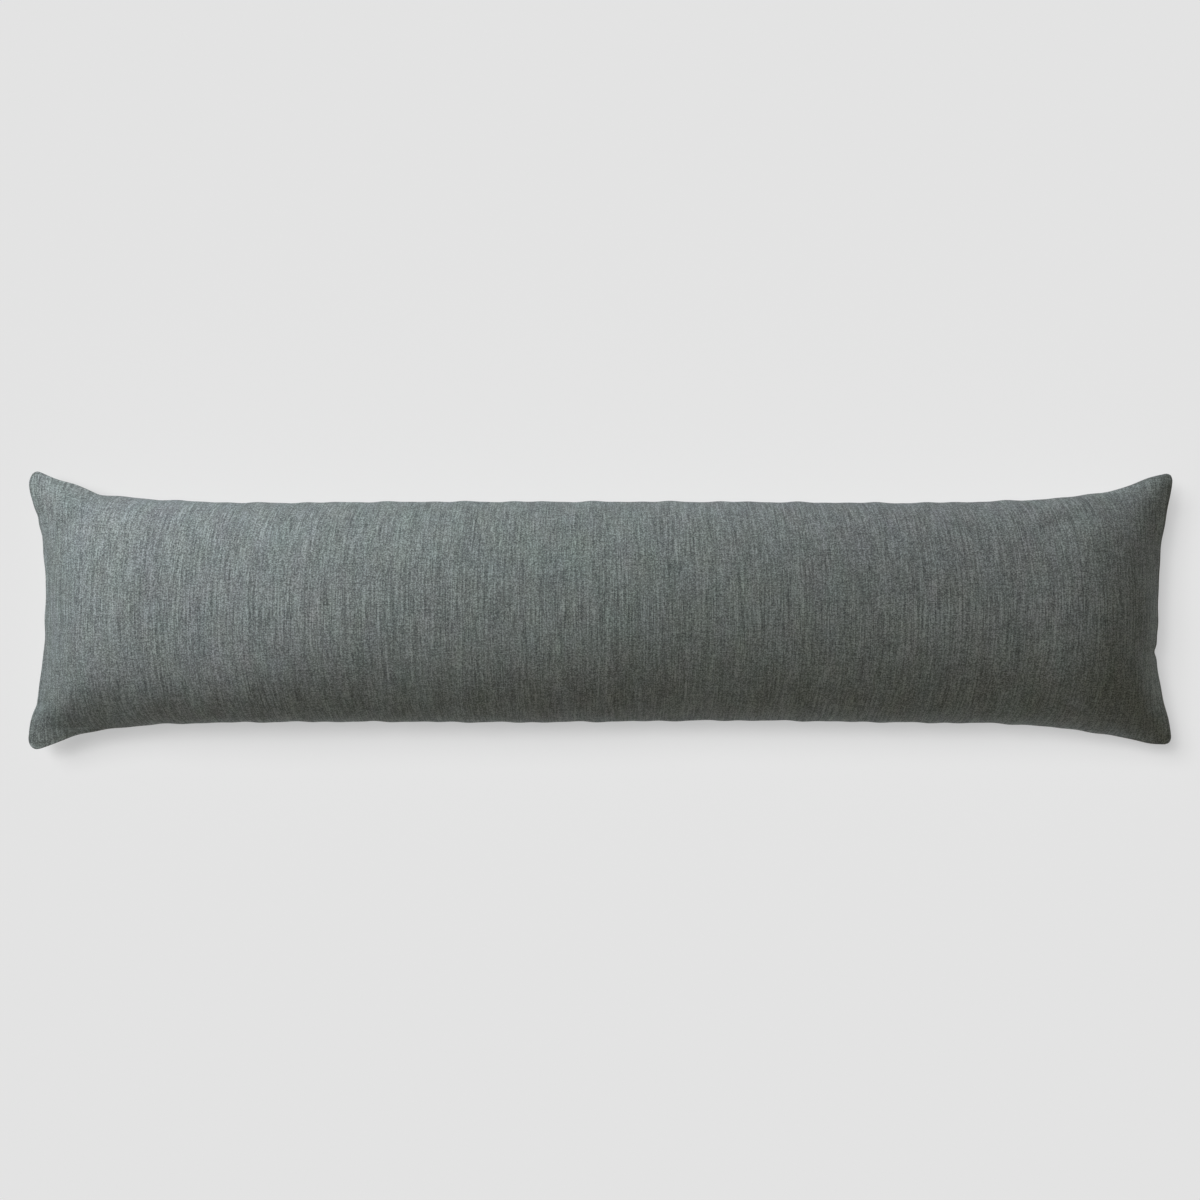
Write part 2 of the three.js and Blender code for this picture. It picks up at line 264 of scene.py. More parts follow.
class CoverSizes(bpy.types.PropertyGroup):
    """Sizes of the cover, cut and filled. A list of four is in the order of CORNERS."""

    cut_length: FloatProperty(
        name="Cut length", description="Length of the flat cover", default=1.219, unit="LENGTH")
    cut_width: FloatProperty(
        name="Cut width", description="Width of the flat cover", default=0.305, unit="LENGTH")
    gather: FloatProperty(
        name="Gather", description="Share of the cut width left once the seams have gathered the cloth",
        default=0.98, subtype="FACTOR", min=0.9, max=1.0)
    filled_length: FloatProperty(
        name="Filled length", description="From end seam to end seam, halfway across", default=1.162,
        unit="LENGTH")
    filled_width: FloatProperty(
        name="Filled width", description="From long seam to long seam, halfway along", default=0.230,
        unit="LENGTH")
    seam_height: FloatProperty(
        name="Seam height", description="Height of the long seams above the floor", default=0.060,
        unit="LENGTH")
    section_fullness: FloatProperty(
        name="Section fullness", description="Flatness of the crown: 1 is a circular arc, less is boxier",
        default=0.6, min=0.4, max=1.0)
    rest_length: FloatProperty(
        name="Rest length", description="Length of the patch that lies flat on the floor", default=0.980,
        unit="LENGTH")
    rest_width: FloatProperty(
        name="Rest width", description="Width of the patch that lies flat on the floor", default=0.077,
        unit="LENGTH")
    rest_slope: FloatProperty(
        name="Rest slope", description="How steeply the underside leaves that patch", default=0.16)
    rest_softness: FloatProperty(
        name="Rest softness", description="How gradually it then rounds up towards the seams", default=0.006,
        unit="LENGTH")
    ear_rise: FloatVectorProperty(
        name="Ear rise", description="How far each tip stands out past the drawn-in long edge",
        size=4, default=(0.033, 0.031, 0.030, 0.025), unit="LENGTH")
    ear_rise_reach: FloatVectorProperty(
        name="Ear rise reach", description="Distance from each tip at which its rise has fallen to half",
        size=4, default=(0.043, 0.047, 0.048, 0.072), unit="LENGTH")
    ear_jut: FloatVectorProperty(
        name="Ear jut", description="How far each tip stands out past the drawn-in end",
        size=4, default=(0.022, 0.025, 0.020, 0.020), unit="LENGTH")
    ear_jut_reach: FloatVectorProperty(
        name="Ear jut reach", description="Distance from each tip at which its jut has fallen to half",
        size=4, default=(0.036, 0.043, 0.040, 0.036), unit="LENGTH")
    ear_droop: FloatVectorProperty(
        name="Ear droop", description="How far each tip hangs below the long seams",
        size=4, default=(0.010, 0.017, 0.008, 0.014), unit="LENGTH")
    ear_tip: FloatVectorProperty(
        name="Ear tip", description="Side of the square that is rounded off at each tip",
        size=4, default=(0.013, 0.012, 0.008, 0.008), unit="LENGTH")
    ear_sharpness: FloatProperty(
        name="Ear sharpness", description="How abruptly an ear leaves the edge that it stands out of",
        default=2.1)
    ear_thinning: FloatProperty(
        name="Ear thinning", description="How much thinner than the body's section an ear runs out",
        default=0.5)
    jut_depth: FloatProperty(
        name="Jut depth", description="How far in from the end the jut of an ear reaches", default=0.070,
        unit="LENGTH")
    roll_radius: FloatProperty(
        name="Roll radius", description="Radius of each panel's rolled edge at the seam", default=0.0009,
        unit="LENGTH")


class ClothSettings(bpy.types.PropertyGroup):
    """How the filled cloth settles."""

    pressure: FloatProperty(name="Pressure", description="Push of the filling on the cloth", default=4.0)
    stretch_stiffness: FloatProperty(
        name="Stretch stiffness", description="Resistance of the linen to stretching", default=40.0)
    bend_stiffness: FloatProperty(
        name="Bend stiffness", description="Resistance of the linen to bending", default=2.0)
    frames: IntProperty(name="Frames", description="Length of the simulation", default=24, min=2)
    reach: FloatProperty(
        name="Reach", description="Furthest that the simulation may move the cloth", default=0.006,
        unit="LENGTH")


class LinenFinish(bpy.types.PropertyGroup):
    """Colours and yarns of the linen."""

    base_colour: FloatVectorProperty(
        name="Base colour", description="Middle tone of the yarn", size=3, subtype="COLOR", min=0, max=1,
        default=(0.205, 0.226, 0.212))
    dark_colour: FloatVectorProperty(
        name="Dark colour", description="Darkest yarn", size=3, subtype="COLOR", min=0, max=1,
        default=(0.086, 0.095, 0.089))
    pale_colour: FloatVectorProperty(
        name="Pale colour", description="Palest yarn", size=3, subtype="COLOR", min=0, max=1,
        default=(0.400, 0.441, 0.414))
    cool_tint: FloatVectorProperty(
        name="Cool tint", description="Where the dye is coolest", size=3, subtype="COLOR", min=0, max=1.2,
        default=(0.965, 1.004, 1.031))
    warm_tint: FloatVectorProperty(
        name="Warm tint", description="Where the dye is warmest", size=3, subtype="COLOR", min=0, max=1.2,
        default=(1.035, 0.996, 0.969))
    green_tint: FloatVectorProperty(
        name="Green tint", description="Where the dye is greenest", size=3, subtype="COLOR", min=0, max=1.2,
        default=(0.982, 1.038, 0.982))
    rose_tint: FloatVectorProperty(
        name="Rose tint", description="Where the dye is least green", size=3, subtype="COLOR", min=0, max=1.2,
        default=(1.018, 0.962, 1.018))
    yarn_pitch: FloatProperty(
        name="Yarn pitch", description="Distance between yarns", default=0.001, unit="LENGTH")
    yarn_wander: FloatProperty(
        name="Yarn wander", description="How far yarns stray from their even places", default=0.0028,
        unit="LENGTH")
    relief: FloatProperty(
        name="Relief", description="How strongly the yarns stand out", default=0.5, subtype="FACTOR", min=0,
        max=1)
    roughness: FloatProperty(
        name="Roughness", description="Roughness of the cloth", default=0.9, subtype="FACTOR", min=0, max=1)
    sheen: FloatProperty(
        name="Sheen", description="Soft light that the loose fibres catch", default=0.06, subtype="FACTOR",
        min=0, max=1)


class SeamThread(bpy.types.PropertyGroup):
    """The stitches that hold the seam."""

    stitch_pitch: FloatProperty(
        name="Stitch pitch", description="Distance between stitches", default=0.003, unit="LENGTH")
    stitch_length: FloatProperty(
        name="Stitch length", description="Length of the thread that shows", default=0.0021, unit="LENGTH")
    thread_radius: FloatProperty(
        name="Thread radius", description="Radius of the sewing thread", default=0.0002, unit="LENGTH")
    lift: FloatProperty(
        name="Lift", description="How far the thread stands out of the groove", default=0.0003, unit="LENGTH")
    colour: FloatVectorProperty(
        name="Thread colour", description="Colour of the sewing thread", size=3, subtype="COLOR", min=0,
        max=1, default=(0.110, 0.125, 0.118))


class SlubYarns(bpy.types.PropertyGroup):
    """The thick places in the yarn."""

    density: FloatProperty(
        name="Density", description="Slubs on each square metre of cloth", default=1900.0)
    shortest: FloatProperty(
        name="Shortest", description="Length of the shortest slub", default=0.005, unit="LENGTH")
    longest: FloatProperty(
        name="Longest", description="Length of the longest slub", default=0.026, unit="LENGTH")
    radius: FloatProperty(
        name="Radius", description="Radius of a slub at its thickest", default=0.00034, unit="LENGTH")
    seed: IntProperty(name="Seed", description="Which arrangement of slubs is used", default=7)


class StudioSettings(bpy.types.PropertyGroup):
    """The floor, the light and the camera."""

    floor_colour: FloatVectorProperty(
        name="Floor colour", description="Colour of the floor", size=3, subtype="COLOR", min=0, max=1,
        default=(0.40, 0.40, 0.40))
    floor_glow: FloatProperty(
        name="Floor glow", description="Light that the floor gives by itself", default=0.455)
    backdrop: FloatVectorProperty(
        name="Backdrop", description="Colour of the backdrop", size=3, subtype="COLOR", min=0, max=1,
        default=(0.78, 0.78, 0.78))
    ambient: FloatProperty(name="Ambient", description="Light from all around", default=0.02)
    pixel_size: FloatProperty(
        name="Pixel size", description="Size on the seam's level that one pixel of the 1200 shows",
        default=0.00105, unit="LENGTH")
    view_centre: FloatVectorProperty(
        name="View centre", description="Point of the floor plan in the middle of the picture", size=2,
        default=(0.0005, 0.011), unit="LENGTH")
    lens: FloatProperty(name="Lens", description="Focal length of the camera in millimetres", default=85.0)


class PillowSettings(bpy.types.PropertyGroup):
    """All that a user would change on the pillow."""

    cover: PointerProperty(name="Cover", description="Sizes of the cover", type=CoverSizes)
    cloth: PointerProperty(name="Cloth", description="How the cloth settles", type=ClothSettings)
    linen: PointerProperty(name="Linen", description="Colours and yarns", type=LinenFinish)
    thread: PointerProperty(name="Thread", description="Stitches of the seam", type=SeamThread)
    slubs: PointerProperty(name="Slubs", description="Thick places in the yarn", type=SlubYarns)
    studio: PointerProperty(name="Studio", description="Floor, light and camera", type=StudioSettings)


def settings():
    """The pillow's settings in the open scene."""
    return bpy.context.scene.lumbar_pillow


# The form of the filled cover


def root_of(falling, low, high):
    """The value between low and high at which a falling function reaches zero."""
    for _ in range(HALVINGS):
        middle = (low + high) / 2
        if falling(middle) > 0:
            low = middle
        else:
            high = middle
    return (low + high) / 2


def arc_rise(share, angle):
    """Height of a circular arc, from 0 at its foot (share 0) to 1 where it is level (share 1 and beyond)."""
    out = (1 - np.clip(share, 0, 1)) * math.sin(angle)
    return np.maximum(0, np.sqrt(1 - out * out) - math.cos(angle)) / (1 - math.cos(angle))


def wave_beside_seam(gather, place, inward, phase):
    """Height of a row of gathers at a place along the seam and a distance in from it. Metres."""
    turns = 2 * math.pi * place / (gather.pitch * MM)
    drift = gather.drift * np.sin(2 * math.pi * place / (gather.drift_pitch * MM) + phase)
    return gather.height * MM * np.sin(turns + drift + phase) * np.exp(-inward / (gather.reach * MM))


def pulled(points, pulls):
    """Points of the plan, along and across in the last axis, once small pulls have moved them."""
    result = points.copy()
    for pull in pulls:
        away = points - np.array((pull.x, pull.y)) * MM
        near = np.exp(-np.sum(away * away, axis=-1, keepdims=True) / (pull.spread * MM) ** 2)
        result += near * np.array((pull.move_x, pull.move_y)) * MM
    return result


def near_line(x, y, run_x, run_y, width):
    """1 on a line from the origin, falling to 0 away from it."""
    share = np.clip((x * run_x + y * run_y) / (run_x**2 + run_y**2), 0, 1)
    return np.exp(-((np.hypot(x - share * run_x, y - share * run_y) / width) ** 2))


class PillowForm:
    """The filled form, worked out from the sizes of the cover."""

    def __init__(self, sizes):
        self.sizes = sizes
        self.half_length = sizes.filled_length / 2
        self.half_width = sizes.filled_width / 2
        cloth_width = sizes.cut_width * sizes.gather
        self.section_angle = root_of(
            lambda angle: cloth_width - sizes.filled_width * angle / math.sin(angle), *SECTION_ANGLES)
        self.section_across = np.linspace(0, 1, SECTION_STEPS + 1)
        self.crown = root_of(lambda crown: cloth_width / 2 - self.section_run(crown)[-1], 0, cloth_width)
        section_run = self.section_run(self.crown)
        self.section_share = section_run / section_run[-1]
        spare_length = (sizes.cut_length - sizes.filled_length) / 2
        self.end_run = root_of(
            lambda run: self.cloth_taken_up(run) - spare_length, self.crown, self.half_length)
        self.end_angle = 2 * math.atan(self.crown / self.end_run)
        self.centre = np.zeros(2)
        along, across = panel_shares(STEPS_ALONG, STEPS_ACROSS)
        outline = self.panel(along, across, 1)[..., :2].reshape(-1, 2)
        self.centre = (outline.min(axis=0) + outline.max(axis=0)) / 2

    def section_rise(self, across):
        """Height of the section: 1 in the middle (0) and 0 at the seams (1)."""
        return arc_rise(1 - np.abs(across), self.section_angle) ** self.sizes.section_fullness

    def section_run(self, crown):
        """Length of cloth from the middle of the section to each of its steps."""
        rise = self.section_rise(self.section_across)
        steps = np.hypot(np.diff(self.section_across) * self.half_width, np.diff(rise) * crown)
        return np.concatenate(([0.0], np.cumsum(steps)))

    def cloth_taken_up(self, run):
        """Length that the arc at an end takes up, more than the straight run under it."""
        angle = 2 * math.atan(self.crown / run)
        return run * angle / math.sin(angle) - run

    def bell(self, distance, reach):
        """Falls from 1 to a half over the reach, and on towards 0."""
        return 1 / (1 + (np.maximum(0, distance) / reach) ** self.sizes.ear_sharpness)

    def ears(self, x, y):
        """How far the ears move points along and across and let them droop, and how far their edge rises."""
        s = self.sizes
        move_x, move_y, droop, edge = (np.zeros_like(x) for _ in range(4))
        for i, (along, across) in enumerate(CORNERS):
            from_end = self.half_length - along * x
            from_side = self.half_width - across * y
            near_end = self.bell(from_end, s.ear_rise_reach[i])
            near_side = self.bell(from_side, s.ear_jut_reach[i])
            side_share = np.maximum(0, across * y / self.half_width)
            move_x += along * s.ear_jut[i] * near_side * self.bell(from_end, s.jut_depth)
            move_y += across * s.ear_rise[i] * near_end * side_share
            droop += s.ear_droop[i] * near_end * near_side
            edge += np.where(side_share > 0, s.ear_rise[i] * near_end, 0)
        return move_x, move_y, droop, edge

    def rounded(self, x, y, half_length, half_width):
        """Rounds off the corners of an outline: each corner square becomes a quarter of a disc."""
        tips = self.sizes.ear_tip
        side = np.select([(x * along >= 0) & (y * across >= 0) for along, across in CORNERS], list(tips))
        a = np.maximum(0, (np.abs(x) - half_length + side) / side)
        b = np.maximum(0, (np.abs(y) - half_width + side) / side)
        shrink_x = np.sqrt(1 - np.where(a > 0, b * b, 0) / 2)
        shrink_y = np.sqrt(1 - np.where(b > 0, a * a, 0) / 2)
        in_corner = (a > 0) & (b > 0)
        round_x = np.sign(x) * (half_length - side * (1 - a * shrink_x))
        round_y = np.sign(y) * (half_width - side * (1 - b * shrink_y))
        return np.where(in_corner, round_x, x), np.where(in_corner, round_y, y)

    def trough_depth(self, x, y):
        """Depth of the soft troughs at the ears."""
        s = self.sizes
        depth = np.zeros_like(x)
        for trough in TROUGHS:
            along, across = CORNERS[trough.corner]
            in_x = self.half_length + s.ear_jut[trough.corner] - along * x - trough.from_x * MM
            in_y = self.half_width + s.ear_rise[trough.corner] - across * y - trough.from_y * MM
            run_x = (trough.to_x - trough.from_x) * MM
            run_y = (trough.to_y - trough.from_y) * MM
            depth += trough.depth * MM * near_line(in_x, in_y, run_x, run_y, trough.width * MM)
        return depth

    def seam_waves(self, x, y):
        """How far the slow waves of the seam line move points along and across."""
        move_x, move_y = np.zeros_like(x), np.zeros_like(x)
        for number, wave in enumerate(SEAM_WAVES):
            turn = 2 * math.pi / (wave.pitch * MM)
            fade_side = np.exp((np.abs(y) - self.half_width) / (wave.reach * MM))
            fade_end = np.exp((np.abs(x) - self.half_length) / (wave.reach * MM))
            move_y += wave.height * MM * np.sin(turn * x + number + SIDE_PHASE * np.sign(y)) * fade_side
            move_x += wave.height * MM * np.sin(turn * y + number + SIDE_PHASE * np.sign(x)) * fade_end
        return move_x, move_y

    def lump_height(self, x, y):
        """How far the lumps in the filling lift the face."""
        height = np.zeros_like(x)
        for lump in FILL_LUMPS:
            square = (x - lump.x * MM) ** 2 + (y - lump.y * MM) ** 2
            height += lump.height * MM * np.exp(-square / (lump.spread * MM) ** 2)
        return height

    def resting(self, x, y, z):
        """Presses what would reach below the floor flat onto it, and what is beside that patch nearly so."""
        soft = self.sizes.rest_softness
        out_x = np.maximum(0, np.abs(x) - self.sizes.rest_length / 2)
        out_y = np.maximum(0, np.abs(y) - self.sizes.rest_width / 2)
        lowest = self.sizes.rest_slope * np.hypot(out_x, out_y)
        above = z - lowest
        return np.where(above >= soft, z, lowest + (np.maximum(above, -soft) + soft) ** 2 / (4 * soft))

    def flat(self, along, across):
        """Where points of a panel lie on the flat cloth."""
        half_length = self.sizes.cut_length / 2
        half_width = self.sizes.cut_width / 2
        return self.rounded(along * half_length, across * half_width, half_length, half_width)

    def plan(self, along, across):
        """Where points of a panel lie in the filled plan before the ears are drawn out. Over the crown, the
        cloth turns down at the end in an arc, so that its points come closer together there."""
        reach = np.abs(along) * self.sizes.cut_length / 2
        straight = self.half_length - self.end_run
        bend = self.end_run / math.sin(self.end_angle)
        over_crown = np.where(
            reach < straight, reach, straight + bend * np.sin(np.maximum(0, reach - straight) / bend))
        over_crown = np.minimum(over_crown, self.half_length)
        arc_across = np.sign(across) * np.interp(np.abs(across), self.section_share, self.section_across)
        fullness = arc_rise(1 - np.abs(arc_across), self.section_angle) ** WEFT_BOW
        x = np.abs(along) * self.half_length * (1 - fullness) + over_crown * fullness
        end_height = arc_rise((self.half_length - x) / self.end_run, self.end_angle) ** 2
        y = self.half_width * (across * (1 - end_height) + arc_across * end_height)
        return np.sign(along) * x, y

    def panel(self, along, across, face):
        """Points of the face (1) or the back (-1), for shares along and across from -1 to 1."""
        x, y = self.plan(along, across)
        move_x, move_y, droop, edge = self.ears(x, y)
        round_x, round_y = self.rounded(x, y, self.half_length, self.half_width)
        wave_x, wave_y = self.seam_waves(x, y)
        place = pulled(np.stack((round_x + move_x + wave_x, round_y + move_y + wave_y), axis=-1), PULLS)
        end_share = (self.half_length - np.abs(x)) / self.end_run
        thinning = 1 + self.sizes.ear_thinning * np.minimum(1, edge / self.sizes.ear_rise[0])
        body = arc_rise(end_share, self.end_angle) * self.section_rise(y / self.half_width) ** thinning
        inward = self.half_width - np.abs(y)
        uneven = -self.trough_depth(place[..., 0], place[..., 1])
        if face > 0:
            uneven += self.lump_height(x, y)
        uneven += wave_beside_seam(LARGE_GATHERS, x, inward, np.sign(y) + face)
        uneven *= np.minimum(1, body / SMOOTH_EDGE)
        z = self.sizes.seam_height - droop + face * (self.crown * body + uneven)
        return np.concatenate((place - self.centre, self.resting(x, y, z)[..., None]), axis=-1)


# The mesh of the cover


def panel_shares(steps_along, steps_across):
    """Shares along and across of a panel's grid of points, as two arrays of that grid's shape."""
    along = np.linspace(-1, 1, steps_along + 1)
    across = np.linspace(-1, 1, steps_across + 1)
    return np.meshgrid(along, across, indexing="ij")


def seam_loop(steps_along, steps_across):
    """Grid places of the seam, once around anticlockwise from above."""
    loop = [(i, 0) for i in range(steps_along)]
    loop += [(steps_along, j) for j in range(steps_across)]
    loop += [(i, steps_across) for i in range(steps_along, 0, -1)]
    loop += [(0, j) for j in range(steps_across, 0, -1)]
    return tuple(np.array(loop).T)


def grid_quads(index, face):
    """Corners of the quads of a grid of point numbers, facing up for the face and down for the back."""
    corners = (index[:-1, :-1], index[1:, :-1], index[1:, 1:], index[:-1, 1:])
    quads = np.stack(corners, axis=-1).reshape(-1, 4)
    return quads if face > 0 else quads[:, ::-1]


def doubled(points, axis):
    """A grid with a new point in the middle of each step along an axis, on a smooth curve through them."""
    points = np.moveaxis(points, axis, 0)
    # the weights of a cubic through four neighbours, and of a parabola past each end
    first = 3 * points[0] - 3 * points[1] + points[2]
    last = 3 * points[-1] - 3 * points[-2] + points[-3]
    padded = np.concatenate((first[None], points, last[None]))
    between = (9 * (padded[1:-2] + padded[2:-1]) - padded[:-3] - padded[3:]) / 16
    result = np.empty((2 * len(points) - 1, *points.shape[1:]))
    result[0::2] = points
    result[1::2] = between
    return np.moveaxis(result, 0, axis)


def new_mesh_object(name, points, faces):
    mesh = bpy.data.meshes.new(name)
    mesh.from_pydata(np.asarray(points).tolist(), [], [list(map(int, f)) for f in faces])
    mesh.validate()
    piece = bpy.data.objects.new(name, mesh)
    bpy.context.scene.collection.objects.link(piece)
    return piece


def settle_cloth(form, cloth):
    """The two panels' grids of points after the filling has pushed the cloth out, held at the seam."""
    along, across = panel_shares(STEPS_ALONG, STEPS_ACROSS)
    face = form.panel(along, across, 1)
    back = form.panel(along, across, -1)
    loop = seam_loop(STEPS_ALONG, STEPS_ACROSS)
    back[loop] = face[loop]

    count = along.size
    face_index = np.arange(count).reshape(along.shape)
    back_index = face_index.copy()
    inner = (slice(1, -1), slice(1, -1))
    back_index[inner] = count + np.arange(back_index[inner].size).reshape(back_index[inner].shape)
    start = np.concatenate((face.reshape(-1, 3), back[inner].reshape(-1, 3)))
    quads = np.concatenate((grid_quads(face_index, 1), grid_quads(back_index, -1)))
    sim = new_mesh_object("settling_cloth", start, quads)

    flat_x, flat_y = form.flat(along, across)
    flat = np.stack((flat_x, flat_y * form.sizes.gather, np.zeros_like(flat_x)), axis=-1)
    flat_points = np.concatenate((flat.reshape(-1, 3), flat[inner].reshape(-1, 3)))
    sim.shape_key_add(name="filled")
    cut = sim.shape_key_add(name="cut")
    cut.data.foreach_set("co", flat_points.astype(np.float32).ravel())
    seam = sim.vertex_groups.new(name="seam")
    seam.add([int(i) for i in face_index[loop]], 1.0, "REPLACE")

    modifier = sim.modifiers.new("Settling", "CLOTH")
    modifier.point_cache.frame_start = 1
    modifier.point_cache.frame_end = cloth.frames
    rules = modifier.settings
    rules.rest_shape_key = cut
    rules.vertex_group_mass = seam.name
    rules.tension_stiffness = cloth.stretch_stiffness
    rules.compression_stiffness = cloth.stretch_stiffness
    rules.shear_stiffness = cloth.stretch_stiffness * SHEAR_SHARE
    rules.bending_stiffness = cloth.bend_stiffness
    rules.air_damping = AIR_DAMPING
    rules.quality = SETTLING_QUALITY
    rules.use_pressure = True
    rules.uniform_pressure_force = cloth.pressure
    rules.effector_weights.gravity = 0.0
    modifier.collision_settings.use_collision = False
    scene = bpy.context.scene
    for number in range(1, cloth.frames + 1):
        scene.frame_set(number)
    shown = sim.evaluated_get(bpy.context.evaluated_depsgraph_get())
    mesh = shown.to_mesh()
    end = np.empty(len(mesh.vertices) * 3, np.float32)
    mesh.vertices.foreach_get("co", end)
    shown.to_mesh_clear()
    scene.frame_set(1)
    mesh = sim.data
    bpy.data.objects.remove(sim)
    bpy.data.meshes.remove(mesh)

    moved = end.reshape(-1, 3).astype(float) - start
    distance = np.linalg.norm(moved, axis=1, keepdims=True) + LEAST_MOVE
    settled = start + moved * (cloth.reach * np.tanh(distance / cloth.reach) / distance)
    settled[:, 2] = np.maximum(0, settled[:, 2])
    return settled[face_index], settled[back_index]


def add_fine_gathers(grid, form, along, across, face):
    """Lifts and lowers the cloth close to the seam, where the stitches hold it in."""
    flat_x, flat_y = form.flat(along, across)
    from_side = form.sizes.cut_width / 2 - np.abs(flat_y)
    from_end = form.sizes.cut_length / 2 - np.abs(flat_x)
    fade = 1 - np.exp(-np.minimum(from_side, from_end) / (SEAM_FADE * MM))
    for gather in FINE_GATHERS:
        side = wave_beside_seam(gather, flat_x, from_side, np.sign(flat_y) + face)
        end = wave_beside_seam(gather, flat_y, from_end, np.sign(flat_x) + face)
        lifted = grid[..., 2] + face * fade * (side + end)
        grid[..., 2] = np.where(grid[..., 2] > 0, np.maximum(0, lifted), 0)


def add_folds(grid, form, along, across):
    """Presses the narrow folds into the face."""
    flat_x, flat_y = form.flat(along, across)
    from_side = form.sizes.cut_width / 2 - np.abs(flat_y)
    from_end = form.sizes.cut_length / 2 - np.abs(flat_x)
    fade = 1 - np.exp(-np.minimum(from_side, from_end) / (SEAM_FADE * MM))
    for fold in FOLDS:
        away_x = grid[..., 0] - fold.from_x * MM
        away_y = grid[..., 1] - fold.from_y * MM
        run_x = (fold.to_x - fold.from_x) * MM
        run_y = (fold.to_y - fold.from_y) * MM
        grid[..., 2] -= fold.depth * MM * fade * near_line(away_x, away_y, run_x, run_y, fold.width * MM)


def unit_rows(rows):
    """Vectors of length 1 in the same directions."""
    return rows / (np.linalg.norm(rows, axis=-1, keepdims=True) + LEAST_LENGTH)


def seam_turn(form, loop_points):
    """How far the seam is turned up towards the face at each place, in radians."""
    t = SEAM_TURN
    x, y = loop_points[:, 0], loop_points[:, 1]
    at_right_end = 1 / (1 + np.exp(-(x - form.half_length + t.end_reach) / t.end_blend))
    from_ear_x = (x + form.half_length) / t.ear_x_spread
    from_ear_y = (y - t.ear_y) / t.ear_y_spread
    below_left_ear = np.exp(-(from_ear_x**2) - from_ear_y**2)
    first_wave = np.sin(2 * math.pi * (x + t.slant * y) / t.first_pitch)
    second_wave = np.sin(2 * math.pi * (x - y) / t.second_pitch)
    return t.drift * first_wave * second_wave + t.at_end * at_right_end + t.at_ear * below_left_ear


class SeamStrip:
    """The rolled edges of the two panels, which meet in a groove along the seam."""

    def __init__(self, form, face, back):
        steps_along, steps_across = face.shape[0] - 1, face.shape[1] - 1
        self.loop = seam_loop(steps_along, steps_across)
        i, j = self.loop
        inner = (np.clip(i, 1, steps_along - 1), np.clip(j, 1, steps_across - 1))
        self.groove = face[self.loop]
        run = unit_rows(np.roll(self.groove, -1, axis=0) - np.roll(self.groove, 1, axis=0))
        self.out = unit_rows(np.cross(run, (0.0, 0.0, 1.0)))
        self.up = unit_rows(np.cross(self.out, run))
        self.turn = seam_turn(form, self.groove)
        self.radius = form.sizes.roll_radius
        self.rows = {}
        for side, grid in ((1, face), (-1, back)):
            slope = self.groove - grid[inner]
            outward = np.sum(slope * self.out, axis=1)
            downward = -side * np.sum(slope * self.up, axis=1)
            start = np.arctan2(np.maximum(outward, LEAST_OUTWARD), downward)
            self.rows[side] = self.roll(start, side)

    def roll(self, start, side):
        """Rows of points around a rolled edge, from the panel to the groove."""
        rows = []
        for step in range(ROLL_STEPS + 1):
            angle = start + (-math.pi / 2 - start) * step / ROLL_STEPS
            out = self.radius * (np.cos(angle) - 1)
            up = side * self.radius * (1 + np.sin(angle))
            turned_out = out * np.cos(self.turn) - up * np.sin(self.turn)
            turned_up = out * np.sin(self.turn) + up * np.cos(self.turn)
            rows.append(self.groove + turned_out[:, None] * self.out + turned_up[:, None] * self.up)
        return rows


class ClothPoints:
    """Points of the cover, with their place on the flat cloth and the way of their weft."""

    def __init__(self):
        self.count = 0
        self.points = []
        self.places = []
        self.wefts = []

    def add(self, points, flat, side, weft):
        """Adds points of the face (side 1), the back (-1) or the rolls between, and returns their numbers."""
        numbers = self.count + np.arange(len(points))
        self.count += len(points)
        self.points.append(points)
        self.places.append(np.column_stack((flat, np.full(len(points), side))))
        self.wefts.append(weft)
        return numbers


def add_vector_map(mesh, name, vectors):
    """Keeps a vector at each point of a mesh."""
    vector_map = mesh.attributes.new(name, "FLOAT_VECTOR", "POINT")
    vector_map.data.foreach_set("vector", vectors.astype(np.float32).ravel())


def add_bake_map(mesh, u, v):
    """Keeps where each corner of each face lies in the map that the materials are baked to."""
    bake = mesh.uv_layers.new(name=BAKE_MAP)
    bake.data.foreach_set("uv", np.stack((u, v), axis=-1).astype(np.float32).ravel())


def add_bake_panels(mesh, sizes, corner_places, sides):
    """Lays the face in the upper half of the bake map and the back in the lower half."""
    share = corner_places / (sizes.cut_length, sizes.cut_width) + 0.5
    u = BAKE_EDGE + (1 - 2 * BAKE_EDGE) * share[..., 0]
    v = np.where(sides[:, None] > 0, 0.5, 0.0) + BAKE_EDGE + (0.5 - 2 * BAKE_EDGE) * share[..., 1]
    add_bake_map(mesh, u, v)


def finished_panels(form, cloth):
    """The grids of points of the face and the back, settled, made finer and gathered, and their shares."""
    face, back = settle_cloth(form, cloth)
    for axis in (0, 1):
        face, back = doubled(face, axis), doubled(back, axis)
    back[..., 2] = np.maximum(0, back[..., 2])
    along, across = panel_shares(2 * STEPS_ALONG, 2 * STEPS_ACROSS)
    add_fine_gathers(face, form, along, across, 1)
    add_fine_gathers(back, form, along, across, -1)
    add_folds(face, form, along, across)
    for grid in (face, back):
        grid[..., :2] = pulled(grid[..., :2], CAUGHT_STITCHES)
    return face, back, along, across


